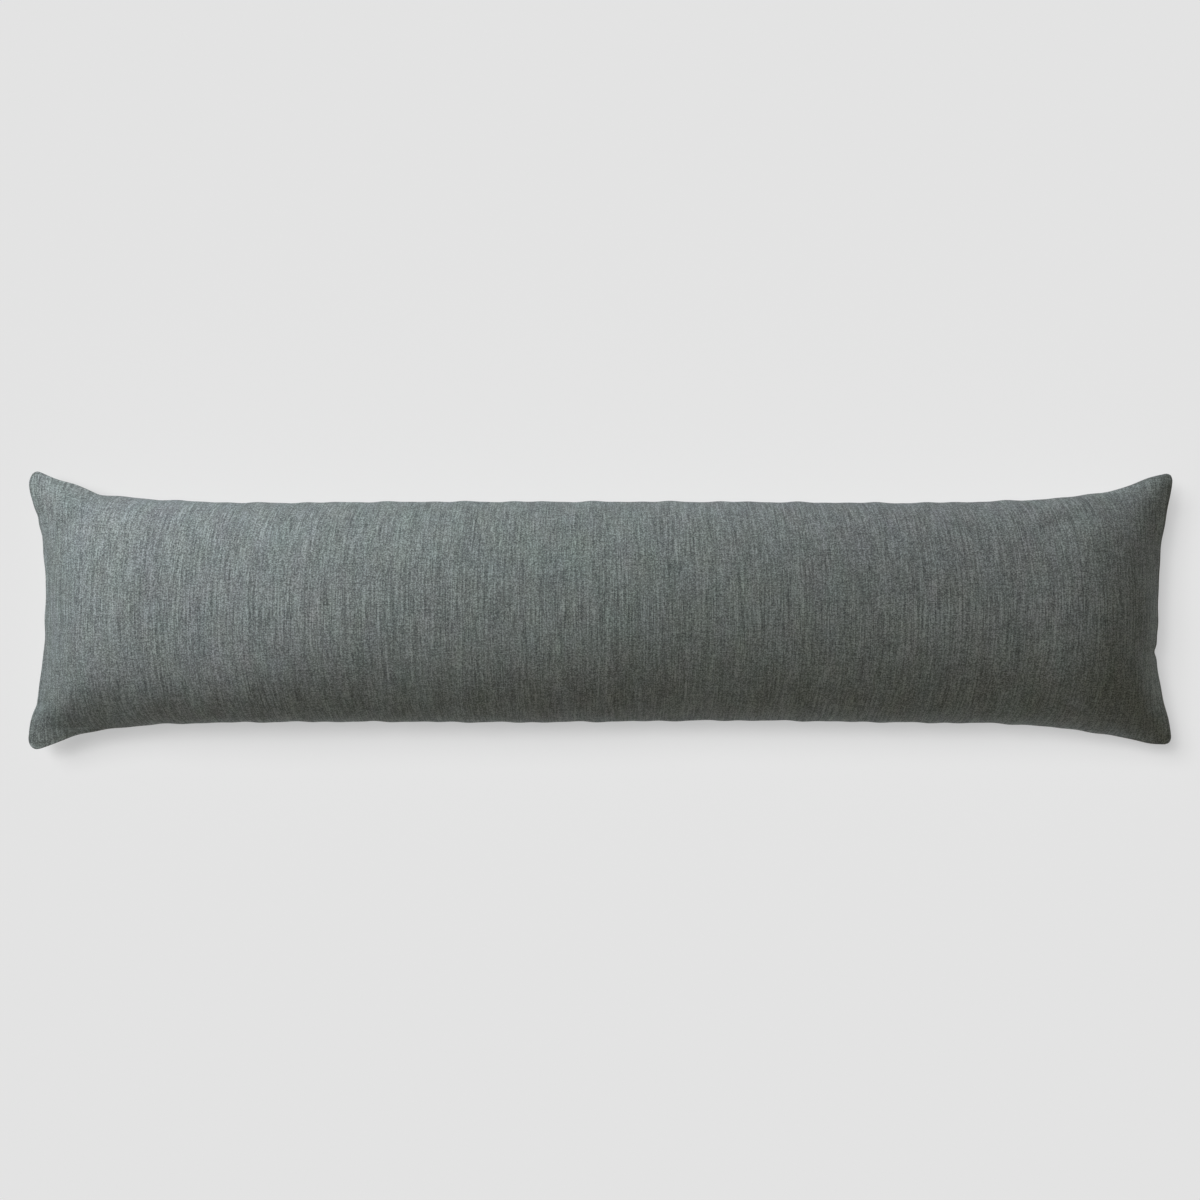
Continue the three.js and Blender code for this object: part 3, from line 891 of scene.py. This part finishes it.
def build_cover(form, cloth):
    """The cover's mesh object, with the cloth's own coordinates, the way of its weft and its bake map."""
    face, back, along, across = finished_panels(form, cloth)
    strip = SeamStrip(form, face, back)
    loop = strip.loop
    face[loop] = strip.rows[1][0]
    back[loop] = strip.rows[-1][0]

    flat_x, flat_y = form.flat(along, across)
    flat = np.stack((flat_x.ravel(), flat_y.ravel()), axis=1)
    flat_loop = np.stack((flat_x[loop], flat_y[loop]), axis=1)
    flat_run = unit_rows(np.roll(flat_loop, -1, axis=0) - np.roll(flat_loop, 1, axis=0))
    flat_out = np.stack((flat_run[:, 1], -flat_run[:, 0]), axis=1)
    roll_width = math.pi / 2 * form.sizes.roll_radius

    cover = ClothPoints()
    wefts, rings = {}, {}
    quads, sides = [], []
    for side, grid in ((1, face), (-1, back)):
        wefts[side] = unit_rows(np.gradient(grid, axis=1))
        numbers = cover.add(grid.reshape(-1, 3), flat, side, wefts[side].reshape(-1, 3))
        numbers = numbers.reshape(along.shape)
        rings[side] = [numbers[loop]]
        quads.append(grid_quads(numbers, side))
        sides.append(np.full(len(quads[-1]), side))
    for side in (1, -1):
        for step in range(1, ROLL_STEPS + 1):
            if side < 0 and step == ROLL_STEPS:
                rings[side].append(rings[1][-1])  # both rolls end in the same groove
                continue
            place = flat_loop + flat_out * roll_width * step / ROLL_STEPS
            share = side * (1 - step / ROLL_STEPS)
            rings[side].append(cover.add(strip.rows[side][step], place, share, wefts[side][loop]))
        for inner, outer in zip(rings[side][:-1], rings[side][1:]):
            ring = np.stack((inner, outer, np.roll(outer, -1), np.roll(inner, -1)), axis=1)
            quads.append(ring if side > 0 else ring[:, ::-1])
            sides.append(np.full(len(ring), side))

    quads = np.concatenate(quads)
    places = np.concatenate(cover.places)
    piece = new_mesh_object(COVER, np.concatenate(cover.points), quads)
    mesh = piece.data
    mesh.polygons.foreach_set("use_smooth", np.ones(len(quads), bool))
    add_vector_map(mesh, CLOTH, places)
    add_vector_map(mesh, WEFT, np.concatenate(cover.wefts))
    groove = mesh.attributes.new(GROOVE, "BOOLEAN", "POINT")
    groove.data.foreach_set("value", np.isin(np.arange(cover.count), rings[1][-1]))
    add_bake_panels(mesh, form.sizes, places[quads][..., :2], np.concatenate(sides))
    return piece


# Materials and node trees


class NodeBuilder:
    """Adds named nodes to a tree and joins them."""

    def __init__(self, tree):
        self.tree = tree

    def put(self, socket, value):
        """Joins a socket to another one, or sets it to a value."""
        if isinstance(value, bpy.types.NodeSocket):
            self.tree.links.new(value, socket)
        else:
            socket.default_value = value

    def node(self, kind, label, inputs=None, **values):
        """A node with its inputs, by name or number, joined or set."""
        node = self.tree.nodes.new(kind)
        node.label = label
        for name, value in values.items():
            setattr(node, name, value)
        for name, value in (inputs or {}).items():
            self.put(node.inputs[name], value)
        return node

    def math(self, label, operation, *values, clamp=False):
        inputs = dict(enumerate(values))
        return self.node("ShaderNodeMath", label, inputs, operation=operation, use_clamp=clamp).outputs[0]

    def vector(self, label, x, y, z):
        return self.node("ShaderNodeCombineXYZ", label, {0: x, 1: y, 2: z}).outputs[0]


class MaterialBuilder(NodeBuilder):
    """The nodes of a material."""

    def __init__(self, name):
        self.material = bpy.data.materials.new(name)
        self.material.use_nodes = True
        super().__init__(self.material.node_tree)

    def noise(self, label, vector, scale=1.0, detail=1.0):
        inputs = {"Vector": vector, "Scale": scale, "Detail": detail}
        return self.node("ShaderNodeTexNoise", label, inputs).outputs["Fac"]

    def add_part(self, total, label, noise, gain):
        """Adds to a total how far a noise lies from its middle."""
        shift = self.math(label + " from the middle", "SUBTRACT", noise, MIDDLE)
        return self.math("With " + label, "MULTIPLY_ADD", shift, gain, total)

    def mix_colour(self, label, factor, first, second, blend="MIX"):
        inputs = {MIX_FACTOR: factor, MIX_FIRST: first, MIX_SECOND: second}
        mix = self.node("ShaderNodeMix", label, inputs, data_type="RGBA", blend_type=blend)
        return mix.outputs[MIX_RESULT]

    def finished(self, inputs):
        """The material, once its shader's inputs are joined or set."""
        shader = self.tree.nodes["Principled BSDF"]
        for name, value in inputs.items():
            self.put(shader.inputs[name], value)
        return self.material


def linen_material(linen):
    """Slubbed linen in a plain weave, on the cloth's own coordinates. The weft runs across the pillow and the
    warp along it. Each yarn has its own uneven tone, and the one on top shows at each crossing."""
    m = MaterialBuilder("slubbed_linen")
    cloth = m.node("ShaderNodeAttribute", "Place on the cloth", attribute_name=CLOTH)
    split = m.node("ShaderNodeSeparateXYZ", "Along, across, side", {0: cloth.outputs["Vector"]})
    along, across, side = split.outputs
    layer = m.math("Layer", "MULTIPLY", side, LAYER_STEP)

    def field(label, x_size, y_size, x=along, y=across, detail=0.0, depth=layer):
        """Soft noise with patches of that size along and across."""
        x_share = m.math(label + " x", "DIVIDE", x, x_size)
        y_share = m.math(label + " y", "DIVIDE", y, y_size)
        return m.noise(label, m.vector(label + " place", x_share, y_share, depth), detail=detail)

    def drift(kind, depth=layer):
        return field(kind.name, kind.along * MM, kind.across * MM, detail=kind.detail, depth=depth)

    weft_place = m.add_part(along, "weft wander", drift(WEFT_WANDER), linen.yarn_wander)
    warp_place = m.add_part(across, "warp wander", drift(WARP_WANDER), linen.yarn_wander)
    weft_count = m.math("Weft count", "DIVIDE", weft_place, linen.yarn_pitch)
    warp_count = m.math("Warp count", "DIVIDE", warp_place, linen.yarn_pitch)
    weft_number = m.math("Weft number", "FLOOR", weft_count)
    warp_number = m.math("Warp number", "FLOOR", warp_count)
    apart = 1 / YARN_STEP

    weft_tone = MIDDLE
    for label, length, gain in WEFT_STREAKS:
        streaks = field(label, apart, length * MM, x=weft_number)
        weft_tone = m.add_part(weft_tone, label, streaks, gain)
    warp_tone = MIDDLE
    for label, length, gain in WARP_STREAKS:
        streaks = field(label, length * MM, apart, y=warp_number)
        warp_tone = m.add_part(warp_tone, label, streaks, gain)

    crossing = m.math("Crossing", "ADD", weft_number, warp_number)
    warp_on_top = m.math("Warp on top", "FLOORED_MODULO", crossing, WEAVE_REPEAT)
    warp_share = m.math("Share of the warp", "MULTIPLY_ADD", warp_on_top, 1 - 2 * WEFT_SHOWS, WEFT_SHOWS)
    tone_step = m.math("Warp less weft", "SUBTRACT", warp_tone, weft_tone)
    tone = m.math("Tone of both yarns", "MULTIPLY_ADD", warp_share, tone_step, weft_tone)
    for label, x_size, y_size, gain in TONE_FIELDS:
        tone = m.add_part(tone, label, field(label, x_size * MM, y_size * MM), gain)

    def from_middle(label, count):
        """Square of the distance from the middle of a yarn: 0 there, 1 at its edges."""
        place = m.math(label + " share", "FRACT", count)
        double = m.math(label + " double", "MULTIPLY_ADD", place, 2.0, -1.0)
        return m.math(label + " squared", "MULTIPLY", double, double)

    def bead_of(label, own_edge, other_edge):
        """Height of a yarn, round and dipping between the yarns that it crosses."""
        yarn = m.math(label + " round", "SUBTRACT", 1.0, own_edge)
        return m.math(label + " bead", "MULTIPLY_ADD", other_edge, -BEAD_DIP, yarn)

    weft_edge = from_middle("Weft edge", weft_count)
    warp_edge = from_middle("Warp edge", warp_count)
    weft_bead = bead_of("Weft", weft_edge, warp_edge)
    bead_step = m.math("Bead step", "SUBTRACT", bead_of("Warp", warp_edge, weft_edge), weft_bead)
    bead = m.math("Bead on top", "MULTIPLY_ADD", warp_on_top, bead_step, weft_bead)
    # Painted shade: the tone is painted darker where the yarns dip, in the gaps between them.
    tone = m.add_part(tone, "painted shade of the yarn gaps", bead, PAINTED_GAP_SHADE)

    ramp = m.node("ShaderNodeValToRGB", "Yarn colours", {0: tone})
    stops = ramp.color_ramp.elements
    stops[0].color = (*linen.dark_colour, 1)
    stops[1].color = (*linen.pale_colour, 1)
    stops.new(MIDDLE).color = (*linen.base_colour, 1)
    tint = m.mix_colour("Dye", drift(DYE_DRIFT), (*linen.cool_tint, 1), (*linen.warm_tint, 1))
    dyed = m.mix_colour("Dyed yarn", 1.0, ramp.outputs[0], tint, "MULTIPLY")
    wide_layer = m.math("Layer of the wide fade", "ADD", layer, WIDE_FADE_LAYER)
    wide_fade = drift(WIDE_FADE, wide_layer)
    fade = m.add_part(drift(FADE_DRIFT), "wide fade", wide_fade, WIDE_FADE_GAIN)
    faded = m.mix_colour("Fade", fade, (*linen.green_tint, 1), (*linen.rose_tint, 1))

    thick = m.math("Thick places", "MULTIPLY_ADD", weft_tone, THICK_RELIEF, bead)
    relief = m.node("ShaderNodeBump", "Weave relief", {
        "Strength": linen.relief, "Distance": linen.yarn_pitch * RELIEF_HEIGHT, "Height": thick})
    least_rough = linen.roughness - YARN_ROUGHNESS / 2
    rough = m.math("Yarn roughness", "MULTIPLY_ADD", weft_tone, YARN_ROUGHNESS, least_rough, clamp=True)
    return m.finished({
        "Base Color": m.mix_colour("Faded yarn", 1.0, dyed, faded, "MULTIPLY"),
        "Normal": relief.outputs[0],
        "Roughness": rough,
        "Sheen Weight": linen.sheen,
        "Sheen Roughness": SHEEN_ROUGHNESS,
        "Sheen Tint": SHEEN_TINT,
        "Specular IOR Level": YARN_SPECULAR,
    })


def thread_material(thread):
    """Sewing thread, twisted from finer strands."""
    m = MaterialBuilder("sewing_thread")
    place = m.node("ShaderNodeTexCoord", "Place").outputs["Object"]
    strands = m.noise("Strands", place, scale=STRAND_SCALE)
    dark, light = ([tone * part for part in thread.colour] for tone in STRAND_TONES)
    return m.finished({
        "Base Color": m.mix_colour("Strand tone", strands, (*dark, 1), (*light, 1)),
        "Roughness": m.math("Strand roughness", "MULTIPLY_ADD", strands, STRAND_ROUGHNESS, THREAD_ROUGHNESS),
        "Specular IOR Level": THREAD_SPECULAR,
    })


def slub_material(linen):
    """Loosely spun yarn, each length in its own tone between the darkest and the palest."""
    m = MaterialBuilder("slub_yarn")
    tone = m.node("ShaderNodeAttribute", "Tone of the slub", attribute_name=SLUB_TONE).outputs["Fac"]
    place = m.node("ShaderNodeTexCoord", "Place").outputs["Object"]
    fibres = m.noise("Fibres", place, scale=FIBRE_SCALE)
    tone = m.add_part(tone, "fibres", fibres, FIBRE_TONE)
    least_rough = linen.roughness - FIBRE_ROUGHNESS / 2
    return m.finished({
        "Base Color": m.mix_colour("Slub colour", tone, (*linen.dark_colour, 1), (*linen.pale_colour, 1)),
        "Roughness": m.math("Fibre roughness", "MULTIPLY_ADD", fibres, FIBRE_ROUGHNESS, least_rough),
        "Sheen Weight": linen.sheen,
        "Specular IOR Level": YARN_SPECULAR,
    })


class GeometryBuilder(NodeBuilder):
    """The nodes of a geometry tree with named inputs."""

    def __init__(self, name, inputs):
        super().__init__(bpy.data.node_groups.new(name, "GeometryNodeTree"))
        sockets = self.tree.interface
        sockets.new_socket("Geometry", in_out="INPUT", socket_type="NodeSocketGeometry")
        sockets.new_socket("Geometry", in_out="OUTPUT", socket_type="NodeSocketGeometry")
        for input_name, kind in inputs.items():
            sockets.new_socket(input_name, in_out="INPUT", socket_type="NodeSocket" + kind)
        self.given = self.node("NodeGroupInput", "Given").outputs

    def attribute(self, label, name, kind="FLOAT_VECTOR"):
        """A map of the cover's own, by its name."""
        return self.node(
            "GeometryNodeInputNamedAttribute", label, {"Name": name}, data_type=kind).outputs["Attribute"]

    def stored(self, label, geometry, name, value, kind):
        """A geometry that keeps a value on its points under a name."""
        inputs = {"Geometry": geometry, "Name": name, "Value": value}
        return self.node(
            "GeometryNodeStoreNamedAttribute", label, inputs, data_type=kind, domain="POINT").outputs[0]

    def finish(self, geometry):
        """Ends the tree: copies made real, smooth and with their material."""
        real = self.node("GeometryNodeRealizeInstances", "Real copies", {"Geometry": geometry})
        smooth = self.node("GeometryNodeSetShadeSmooth", "Smooth", {"Geometry": real.outputs[0]})
        dressed = self.node("GeometryNodeSetMaterial", "Material", {
            "Geometry": smooth.outputs[0], "Material": self.given["Material"]})
        self.node("NodeGroupOutput", "Result", {0: dressed.outputs[0]})

    def applied_to(self, name, source, values):
        """A new piece with the mesh that the tree makes from a source piece's mesh."""
        piece = bpy.data.objects.new(name, source.data.copy())
        bpy.context.scene.collection.objects.link(piece)
        modifier = piece.modifiers.new(self.tree.name, "NODES")
        modifier.node_group = self.tree
        for socket in self.tree.interface.items_tree:
            if socket.in_out == "INPUT" and socket.name in values:
                modifier[socket.identifier] = values[socket.name]
        graph = bpy.context.evaluated_depsgraph_get()
        mesh = bpy.data.meshes.new_from_object(piece.evaluated_get(graph), depsgraph=graph)
        piece.modifiers.clear()
        copied = piece.data
        piece.data = mesh
        bpy.data.meshes.remove(copied)
        if not len(mesh.polygons):
            raise RuntimeError(name + " has no faces")
        mesh.materials.clear()
        mesh.materials.append(values["Material"])
        mesh.polygons.foreach_set("material_index", np.zeros(len(mesh.polygons), np.int32))
        for left_over in (CLOTH, WEFT, GROOVE, WAY_OUT, BAKE_MAP):
            if left_over in mesh.attributes:
                mesh.attributes.remove(mesh.attributes[left_over])
        return piece


def stitch_tree():
    """A row of short stitches, thick in the middle, along the groove of the seam."""
    g = GeometryBuilder(STITCHES, {
        "Pitch": "Float", "Length": "Float", "Radius": "Float", "Lift": "Float", "Material": "Material"})
    normal = g.node("GeometryNodeInputNormal", "Normal").outputs[0]
    out = g.stored("Way out of the groove", g.given["Geometry"], WAY_OUT, normal, "FLOAT_VECTOR")
    groove = g.node("GeometryNodeMeshToCurve", "Groove", {
        "Mesh": out, "Selection": g.attribute("In the groove", GROOVE, "BOOLEAN")})
    places = g.node("GeometryNodeCurveToPoints", "Places of the stitches", {
        "Curve": groove.outputs[0], "Length": g.given["Pitch"]}, mode="LENGTH")
    lift = g.node("ShaderNodeVectorMath", "Lift out", {
        0: g.attribute("Way out", WAY_OUT), "Scale": g.given["Lift"]}, operation="SCALE")
    lifted = g.node("GeometryNodeSetPosition", "Lifted places", {
        "Geometry": places.outputs["Points"], "Offset": lift.outputs[0]})
    stitch = g.node("GeometryNodeMeshUVSphere", "Stitch", {
        "Segments": STITCH_SIDES, "Rings": STITCH_RINGS, "Radius": 1.0})
    half_length = g.math("Half length", "DIVIDE", g.given["Length"], 2.0)
    size = g.vector("Size of a stitch", g.given["Radius"], g.given["Radius"], half_length)
    stitches = g.node("GeometryNodeInstanceOnPoints", "Stitches", {
        "Points": lifted.outputs[0], "Instance": stitch.outputs["Mesh"],
        "Rotation": places.outputs["Rotation"], "Scale": size})
    g.finish(stitches.outputs[0])
    return g


def slub_tree():
    """Thick places in the weft: short tapered lengths of yarn that lie on the cloth, across the pillow."""
    g = GeometryBuilder(SLUBS, {
        "Density": "Float", "Shortest": "Float", "Longest": "Float", "Radius": "Float",
        "Cloth Width": "Float", "Seed": "Int", "Material": "Material"})
    cloth = g.given["Geometry"]
    place = g.node("GeometryNodeInputPosition", "Place").outputs[0]
    height = g.node("ShaderNodeSeparateXYZ", "Height", {0: place}).outputs["Z"]
    off_floor = g.math("Off the floor", "GREATER_THAN", height, SLUB_CLEARANCE)
    cloth_place = g.attribute("Place on the cloth", CLOTH)
    across = g.node("ShaderNodeSeparateXYZ", "Across", {0: cloth_place}).outputs["Y"]
    off_middle = g.math("Distance from the middle", "ABSOLUTE", across)
    room = g.math("Room beside the seam", "MULTIPLY_ADD", off_middle, -2.0, g.given["Cloth Width"])
    off_seam = g.math("Off the seam", "GREATER_THAN", room, g.given["Shortest"])
    spread = g.node("GeometryNodeDistributePointsOnFaces", "Places of the slubs", {
        "Mesh": cloth, "Selection": g.math("Off both", "MULTIPLY", off_floor, off_seam),
        "Density": g.given["Density"], "Seed": g.given["Seed"]}, distribute_method="RANDOM")

    def chance(label, low, high, number):
        """A chance value for each slub. The number keeps one draw apart from another."""
        seed = g.math(label + " seed", "ADD", g.given["Seed"], number)
        inputs = {RANDOM_LOW: low, RANDOM_HIGH: high, "Seed": seed}
        return g.node("FunctionNodeRandomValue", label, inputs, data_type="FLOAT").outputs[RANDOM_FLOAT]

    tone = chance("Tone", *SLUB_TONES, 1)
    toned = g.stored("Tones", spread.outputs["Points"], SLUB_TONE, tone, "FLOAT")
    turn = g.node("FunctionNodeAxesToRotation", "Laid along the weft", {
        "Primary Axis": g.attribute("Way of the weft", WEFT), "Secondary Axis": spread.outputs["Normal"]},
        primary_axis="Z", secondary_axis="X")
    yarn = g.node("GeometryNodeCurvePrimitiveLine", "Straight yarn", {
        "Start": (0.0, 0.0, -0.5), "End": (0.0, 0.0, 0.5)})
    bends = g.node("GeometryNodeResampleCurve", "Yarn that can bend", {
        "Curve": yarn.outputs[0], "Count": SLUB_POINTS})
    free_length = chance("Length", g.given["Shortest"], g.given["Longest"], 2)
    length = g.math("Length short of the seam", "MINIMUM", free_length, room)
    laid = g.node("GeometryNodeInstanceOnPoints", "Laid slubs", {
        "Points": toned, "Instance": bends.outputs[0], "Rotation": turn.outputs[0],
        "Scale": g.vector("Size of a slub", 1.0, 1.0, length)})
    real = g.node("GeometryNodeRealizeInstances", "Real yarns", {"Geometry": laid.outputs[0]})
    nearest = g.node("GeometryNodeProximity", "Nearest cloth", {"Target": cloth}, target_element="FACES")
    on_cloth = g.node("GeometryNodeSetPosition", "On the cloth", {
        "Geometry": real.outputs[0], "Position": nearest.outputs["Position"]})
    share = g.node("GeometryNodeSplineParameter", "Share of the slub").outputs["Factor"]
    rest = g.math("Rest of the slub", "SUBTRACT", 1.0, share)
    arch = g.math("Arch", "MULTIPLY", share, rest)
    taper = g.math("Taper", "MULTIPLY_ADD", arch, (1 - SLUB_END) / ARCH_PEAK, SLUB_END)
    ring = g.node("GeometryNodeCurvePrimitiveCircle", "Ring", {
        "Resolution": SLUB_SIDES, "Radius": g.given["Radius"]})
    tube = g.node("GeometryNodeCurveToMesh", "Tapered yarn", {
        "Curve": on_cloth.outputs[0], "Profile Curve": ring.outputs["Curve"], "Scale": taper,
        "Fill Caps": True})
    g.finish(tube.outputs[0])
    return g


def add_bake_cells(piece):
    """Gives each face of a piece of many small faces its own square of the bake map."""
    mesh = piece.data
    faces = len(mesh.polygons)
    corners = np.empty(faces, np.int32)
    starts = np.empty(faces, np.int32)
    mesh.polygons.foreach_get("loop_total", corners)
    mesh.polygons.foreach_get("loop_start", starts)
    face = np.repeat(np.arange(faces), corners)
    turn = 2 * math.pi * (np.arange(len(mesh.loops)) - starts[face] + 0.5) / corners[face]
    side = math.ceil(math.sqrt(faces))
    u = (face % side + 0.5 + CELL_RADIUS * np.cos(turn)) / side
    v = (face // side + 0.5 + CELL_RADIUS * np.sin(turn)) / side
    add_bake_map(mesh, u, v)


# Operators


def finish_piece(piece, *nodes):
    """Joins a piece to the pillow's body, and hides the solids that it stands for."""
    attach(piece, BODY)
    if nodes:
        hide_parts(*nodes)


class PILLOW_OT_cover(bpy.types.Operator):
    """Builds the filled linen cover with its rolled seam"""

    bl_idname = "pillow.cover"
    bl_label = "Linen Cover"

    def execute(self, context):
        pillow = settings()
        form = PillowForm(pillow.cover)
        piece = build_cover(form, pillow.cloth)
        piece.data.materials.append(linen_material(pillow.linen))
        finish_piece(piece, COVER_NODE)
        return {"FINISHED"}


class PILLOW_OT_stitches(bpy.types.Operator):
    """Lays the stitches in the groove of the seam"""

    bl_idname = "pillow.stitches"
    bl_label = "Seam Stitches"

    def execute(self, context):
        thread = settings().thread
        piece = stitch_tree().applied_to(STITCHES, context.scene.objects[COVER], {
            "Pitch": thread.stitch_pitch, "Length": thread.stitch_length, "Radius": thread.thread_radius,
            "Lift": thread.lift, "Material": thread_material(thread)})
        add_bake_cells(piece)
        finish_piece(piece)
        return {"FINISHED"}


class PILLOW_OT_slubs(bpy.types.Operator):
    """Lays the thick places of the yarn on the cover"""

    bl_idname = "pillow.slubs"
    bl_label = "Yarn Slubs"

    def execute(self, context):
        pillow = settings()
        slubs = pillow.slubs
        piece = slub_tree().applied_to(SLUBS, context.scene.objects[COVER], {
            "Density": slubs.density, "Shortest": slubs.shortest, "Longest": slubs.longest,
            "Radius": slubs.radius, "Cloth Width": pillow.cover.cut_width, "Seed": slubs.seed,
            "Material": slub_material(pillow.linen)})
        add_bake_cells(piece)
        finish_piece(piece)
        return {"FINISHED"}


def add_lamp(data, place, target, lit):
    """Places a lamp that lights only the objects of a collection."""
    lamp_object = bpy.data.objects.new(data.name, data)
    lamp_object.location = place
    beam = Vector(target) - lamp_object.location
    lamp_object.rotation_euler = beam.to_track_quat("-Z", "Y").to_euler()
    lamp_object.visible_camera = False
    lamp_object.light_linking.receiver_collection = lit
    bpy.context.scene.collection.objects.link(lamp_object)


def lit_group(name, objects):
    """A collection of what a lamp lights."""
    group = bpy.data.collections.new(name)
    for member in objects:
        group.objects.link(member)
    return group


def studio_world(studio):
    """A pale backdrop that gives only a little light of its own."""
    world = bpy.data.worlds.new("studio")
    world.use_nodes = True
    tree = world.node_tree
    light = tree.nodes["Background"]
    light.inputs[0].default_value = (*studio.backdrop, 1)
    light.inputs[1].default_value = studio.ambient
    backdrop = tree.nodes.new("ShaderNodeBackground")
    backdrop.inputs[0].default_value = (*studio.backdrop, 1)
    path = tree.nodes.new("ShaderNodeLightPath")
    mix = tree.nodes.new("ShaderNodeMixShader")
    tree.links.new(path.outputs["Is Camera Ray"], mix.inputs[0])
    tree.links.new(light.outputs[0], mix.inputs[1])
    tree.links.new(backdrop.outputs[0], mix.inputs[2])
    tree.links.new(mix.outputs[0], tree.nodes["World Output"].inputs["Surface"])
    return world


def add_floor(studio):
    """The plain floor that the pillow lies on."""
    half = FLOOR_SIZE / 2
    corners = [(-half, -half, 0), (half, -half, 0), (half, half, 0), (-half, half, 0)]
    floor = new_mesh_object("floor", corners, [(0, 1, 2, 3)])
    floor.location.z = -FLOOR_GAP
    floor.data.materials.append(MaterialBuilder("floor_paint").finished({
        "Base Color": (*studio.floor_colour, 1), "Roughness": 1.0, "Specular IOR Level": 0.0,
        "Emission Color": (1, 1, 1, 1), "Emission Strength": studio.floor_glow}))
    return floor


def light_studio(lit_pillow, lit_floor, seam_height):
    """Soft lamps for the pillow, and suns for the floor."""
    for lamp in PILLOW_LAMPS:
        data = bpy.data.lights.new(lamp.name, "AREA")
        data.energy = lamp.power
        data.color = lamp.colour
        data.shape = "RECTANGLE"
        data.size = lamp.width
        data.size_y = lamp.height
        add_lamp(data, lamp.place, (0.0, 0.0, seam_height), lit_pillow)
    for sun in FLOOR_SUNS:
        data = bpy.data.lights.new(sun.name, "SUN")
        data.energy = sun.strength
        data.angle = math.radians(sun.spread)
        place = (-math.tan(math.radians(sun.lean_x)), math.tan(math.radians(sun.lean_y)), 1.0)
        add_lamp(data, place, (0.0, 0.0, 0.0), lit_floor)


def add_camera(studio, seam_height):
    """A camera straight above the pillow, at the distance that gives each pixel its size."""
    camera = bpy.data.cameras.new("camera")
    camera.lens = studio.lens
    camera.sensor_width = SENSOR_WIDTH
    distance = PICTURE_PIXELS * studio.pixel_size * studio.lens / SENSOR_WIDTH
    camera_object = bpy.data.objects.new("camera", camera)
    camera_object.location = (*studio.view_centre, seam_height + distance)
    bpy.context.scene.collection.objects.link(camera_object)
    return camera_object


class PILLOW_OT_stage(bpy.types.Operator):
    """Builds the floor, the light and the camera"""

    bl_idname = "pillow.stage"
    bl_label = "Stage"

    def execute(self, context):
        pillow = settings()
        scene = context.scene
        seam_height = pillow.cover.seam_height
        pieces = [scene.objects[name] for name in (COVER, STITCHES, SLUBS)]
        floor = add_floor(pillow.studio)
        light_studio(lit_group("lit_pillow", pieces), lit_group("lit_floor", [floor]), seam_height)
        scene.world = studio_world(pillow.studio)
        scene.view_settings.view_transform = "Standard"
        scene.camera = add_camera(pillow.studio, seam_height)
        return {"FINISHED"}


class PILLOW_PT_panel(bpy.types.Panel):
    """Lists the pieces of the pillow and what can be changed on them"""

    bl_idname = "PILLOW_PT_panel"
    bl_label = "Lumbar Pillow"
    bl_space_type = "VIEW_3D"
    bl_region_type = "UI"
    bl_category = "Pillow"

    def draw(self, context):
        for operator in OPERATORS:
            self.layout.operator(operator.bl_idname)
        pillow = settings()
        for part in PillowSettings.__annotations__:
            group = getattr(pillow, part)
            box = self.layout.box()
            for name in type(group).__annotations__:
                box.prop(group, name)


GROUPS = (CoverSizes, ClothSettings, LinenFinish, SeamThread, SlubYarns, StudioSettings, PillowSettings)
OPERATORS = (PILLOW_OT_cover, PILLOW_OT_stitches, PILLOW_OT_slubs, PILLOW_OT_stage)
CLASSES = (*GROUPS, *OPERATORS, PILLOW_PT_panel)


def register():
    for cls in CLASSES:
        bpy.utils.register_class(cls)
    bpy.types.Scene.lumbar_pillow = PointerProperty(type=PillowSettings)


def unregister():
    del bpy.types.Scene.lumbar_pillow
    for cls in reversed(CLASSES):
        bpy.utils.unregister_class(cls)


def main():
    register()
    bpy.ops.pillow.cover()
    bpy.ops.pillow.stitches()
    bpy.ops.pillow.slubs()
    bpy.ops.pillow.stage()


if __name__ == "__main__":
    main()
